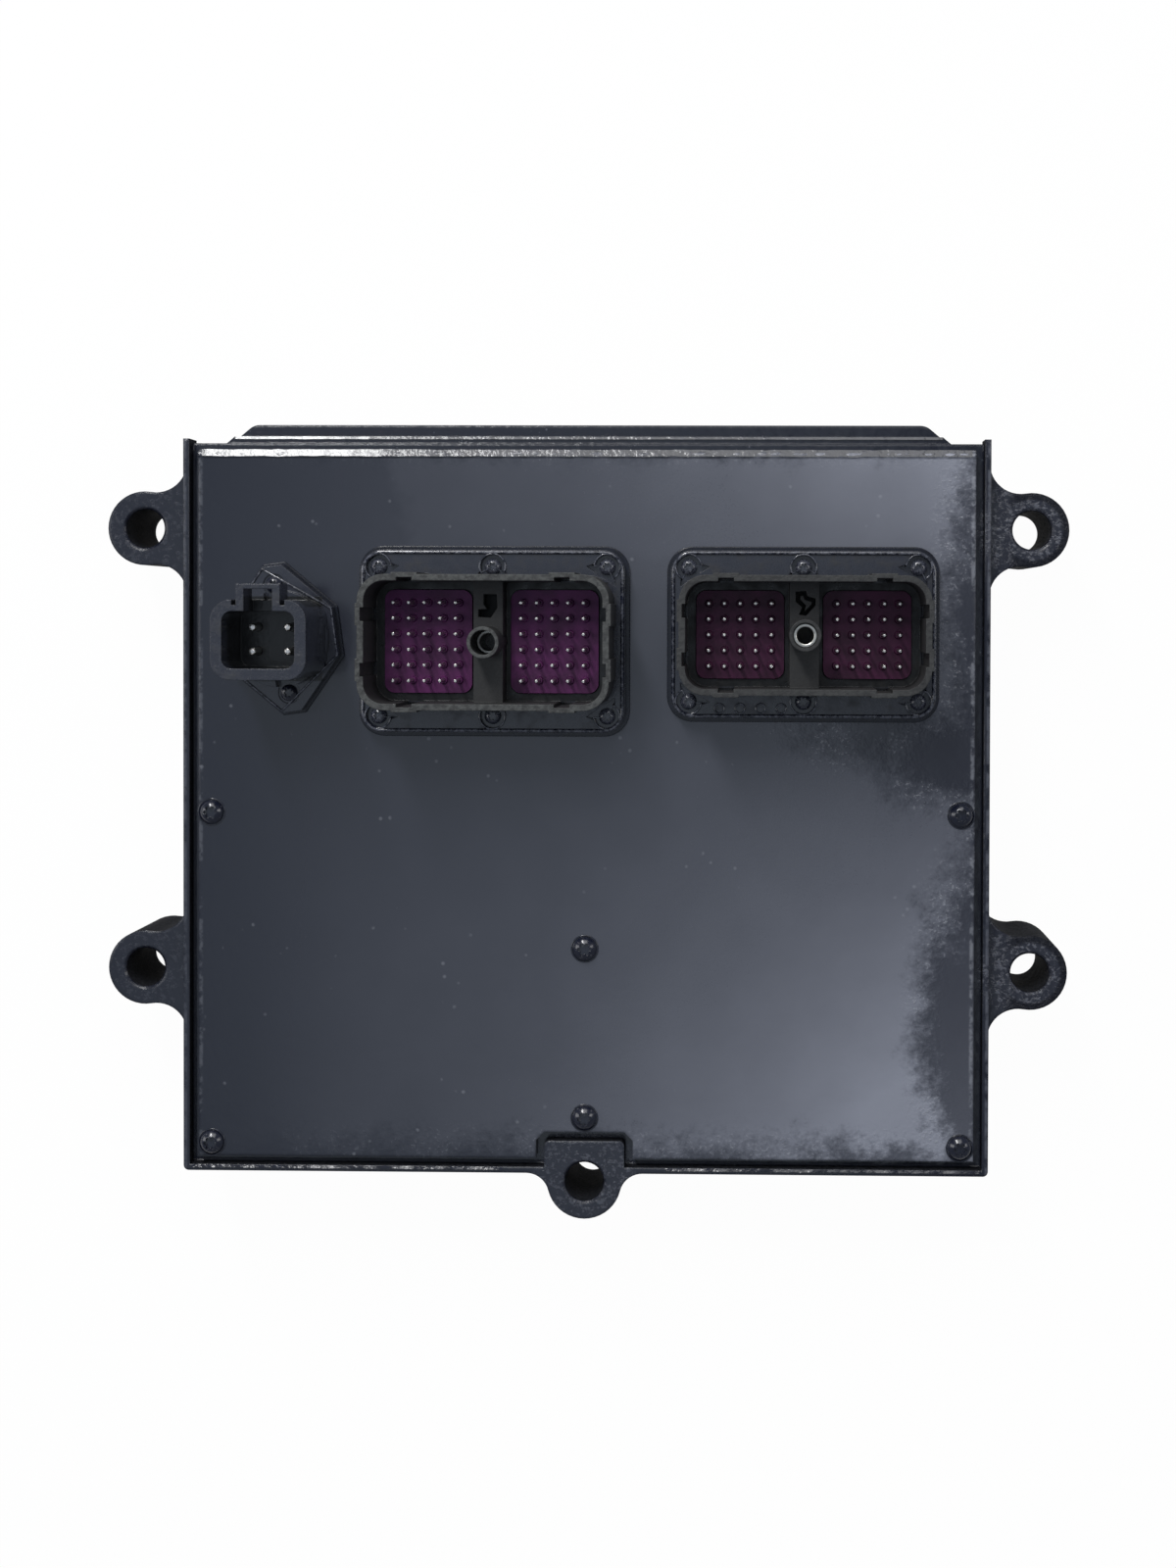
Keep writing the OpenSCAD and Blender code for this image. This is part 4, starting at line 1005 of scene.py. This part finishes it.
def laminate(settings):
    """Green board with routed tracks under the solder mask."""
    net = Net("board_laminate")
    place = net.place()
    white = rgb((1, 1, 1))
    inputs = {"Vector": place, "Scale": 260.0, "Mortar Size": 0.028, "Color1": white, "Color2": white,
              "Mortar": rgb((0, 0, 0))}
    tracks = net.node("ShaderNodeTexBrick", inputs=inputs, output="Fac")
    weave = net.noise(place, 1300.0, 2.0)
    colour = net.mix(tracks * 0.8, rgb(settings.laminate), rgb(settings.track))
    normal = net.bump(tracks * (0.03 * MM) + weave * (0.01 * MM))
    return net.finish(colour, 0.34 + weave * 0.18, normal=normal)


def moulded(colour, name, shine):
    """Epoxy or silicone with a fine speckle."""
    net = Net(name)
    place = net.place()
    fine = net.noise(place, 2100.0, 3.0)
    tone = net.mix(fine, rgb(colour, 0.7), rgb(colour, 1.4))
    return net.finish(tone, shine + fine * 0.2, normal=net.bump(fine * (0.04 * MM)))


class ECU_OT_electronics(bpy.types.Operator):
    """Dresses the circuit board and the parts on it"""

    bl_idname = "ecu.electronics"
    bl_label = "Electronics"

    def execute(self, context):
        board = context.scene.ecu_board
        dress("circuit_board", laminate(board))
        epoxy = moulded(board.epoxy, "chip_epoxy", shine=0.5)
        for node in ("processor", "memory_chips", "driver_chips", "power_transistors", "pressure_sensor"):
            dress(node, epoxy)
        can = plated(board.can, "can_metal", shine=0.3, scratch=900.0)
        for node in ("bulk_capacitors", "crystal", "board_screws"):
            dress(node, can)
        dress("boost_inductors", plated(board.copper, "winding_copper", shine=0.32, scratch=1500.0))
        dress("thermal_pads", moulded(board.pad, "pad_silicone", shine=0.7))
        return {"FINISHED"}


def floor_finish(settings):
    """Pale floor that shows white, also in reflections and through holes, and keeps a soft shadow."""
    net = Net("pale_floor")
    seen = net.node("ShaderNodeLightPath", output="Is Camera Ray")
    seen = seen + net.node("ShaderNodeLightPath", output="Is Glossy Ray")
    seen = seen + net.node("ShaderNodeLightPath", output="Is Transmission Ray")
    paper = net.node("ShaderNodeBsdfDiffuse", inputs={"Color": rgb(settings.floor)})
    glow = net.node("ShaderNodeEmission", inputs={"Color": rgb((1, 1, 1)), "Strength": 1.0})
    share = seen.least(1.0) * 0.975
    return net.output(net.node("ShaderNodeMixShader", inputs={0: share, 1: paper, 2: glow}))


def softbox(name, place, target, wide, high, power, colour=(1.0, 1.0, 1.0)):
    """Rectangular lamp that faces a point."""
    lamp = bpy.data.lights.new(name, "AREA")
    lamp.shape = "RECTANGLE"
    lamp.size = wide
    lamp.size_y = high
    lamp.energy = power
    lamp.color = colour
    holder = bpy.data.objects.new(name, lamp)
    holder.location = place
    holder.rotation_euler = (Vector(target) - Vector(place)).to_track_quat("-Z", "Y").to_euler()
    bpy.context.scene.collection.objects.link(holder)


def add_lamps():
    """Two lamps beyond the rail, a bluish one above and one at each side."""
    softbox("key", (-0.37, 0.95, 0.85), AIM, wide=0.15, high=0.75, power=8.5)
    softbox("bank", (0.0, 0.95, 0.9), AIM, wide=0.9, high=0.9, power=6.0)
    softbox("ceiling", (-0.23, -0.15, 1.6), (-0.23, -0.149, 0.0), wide=0.9, high=1.0, power=1.05,
            colour=(0.75, 0.88, 1.0))
    softbox("right", (0.9, 0.2, 0.7), AIM, wide=0.3, high=0.6, power=1.5)
    softbox("left", (-0.9, 0.1, 0.6), AIM, wide=0.4, high=0.8, power=2.4)


class ECU_OT_stage(bpy.types.Operator):
    """Sets the camera, the floor and the lamps"""

    bl_idname = "ecu.stage"
    bl_label = "Stage"

    def execute(self, context):
        scene = context.scene
        stage = scene.ecu_stage
        eye = bpy.data.cameras.new("camera")
        eye.lens = stage.lens
        eye.shift_x, eye.shift_y = stage.shift
        holder = bpy.data.objects.new("camera", eye)
        holder.location = stage.camera
        holder.rotation_euler = stage.tilt
        scene.collection.objects.link(holder)
        scene.camera = holder
        begin()
        bpy.ops.mesh.primitive_plane_add(size=6.0, location=(0.0, 0.0, CAD_BOX[0][2] - 0.2 * MM))
        floor = context.object
        floor.name = "floor"
        floor.data.materials.append(floor_finish(stage))
        add_lamps()
        world = bpy.data.worlds.new("studio")
        world.use_nodes = True
        back = world.node_tree.nodes["Background"]
        back.inputs["Color"].default_value = rgb(stage.sky)
        back.inputs["Strength"].default_value = stage.sky_strength
        scene.world = world
        scene.view_settings.view_transform = "Standard"
        return {"FINISHED"}


class ECU_PT_panel(bpy.types.Panel):
    """Lists the steps in the sidebar"""

    bl_idname = "ECU_PT_panel"
    bl_label = "Control unit"
    bl_space_type = "VIEW_3D"
    bl_region_type = "UI"
    bl_category = "Control unit"

    def draw(self, context):
        for step in STEPS:
            self.layout.operator(step.bl_idname)


SETTINGS = {
    "ecu_paint": PaintSettings,
    "ecu_trim": TrimSettings,
    "ecu_plastic": PlasticSettings,
    "ecu_metal": MetalSettings,
    "ecu_board": BoardSettings,
    "ecu_stage": StageSettings,
}
STEPS = (
    ECU_OT_stage,
    ECU_OT_castings,
    ECU_OT_screws,
    ECU_OT_flanges,
    ECU_OT_shells,
    ECU_OT_inserts,
    ECU_OT_metal,
    ECU_OT_gaskets,
    ECU_OT_electronics,
)


def register():
    for name, group in SETTINGS.items():
        bpy.utils.register_class(group)
        setattr(bpy.types.Scene, name, bpy.props.PointerProperty(type=group))
    for step in STEPS:
        bpy.utils.register_class(step)
    bpy.utils.register_class(ECU_PT_panel)


def unregister():
    bpy.utils.unregister_class(ECU_PT_panel)
    for step in reversed(STEPS):
        bpy.utils.unregister_class(step)
    for name, group in SETTINGS.items():
        delattr(bpy.types.Scene, name)
        bpy.utils.unregister_class(group)


def main():
    register()
    bpy.ops.ecu.stage()
    bpy.ops.ecu.castings()
    bpy.ops.ecu.screws()
    bpy.ops.ecu.flanges()
    bpy.ops.ecu.shells()
    bpy.ops.ecu.inserts()
    bpy.ops.ecu.metal()
    bpy.ops.ecu.gaskets()
    bpy.ops.ecu.electronics()
    bpy.context.view_layer.update()


if __name__ == "__main__":
    main()
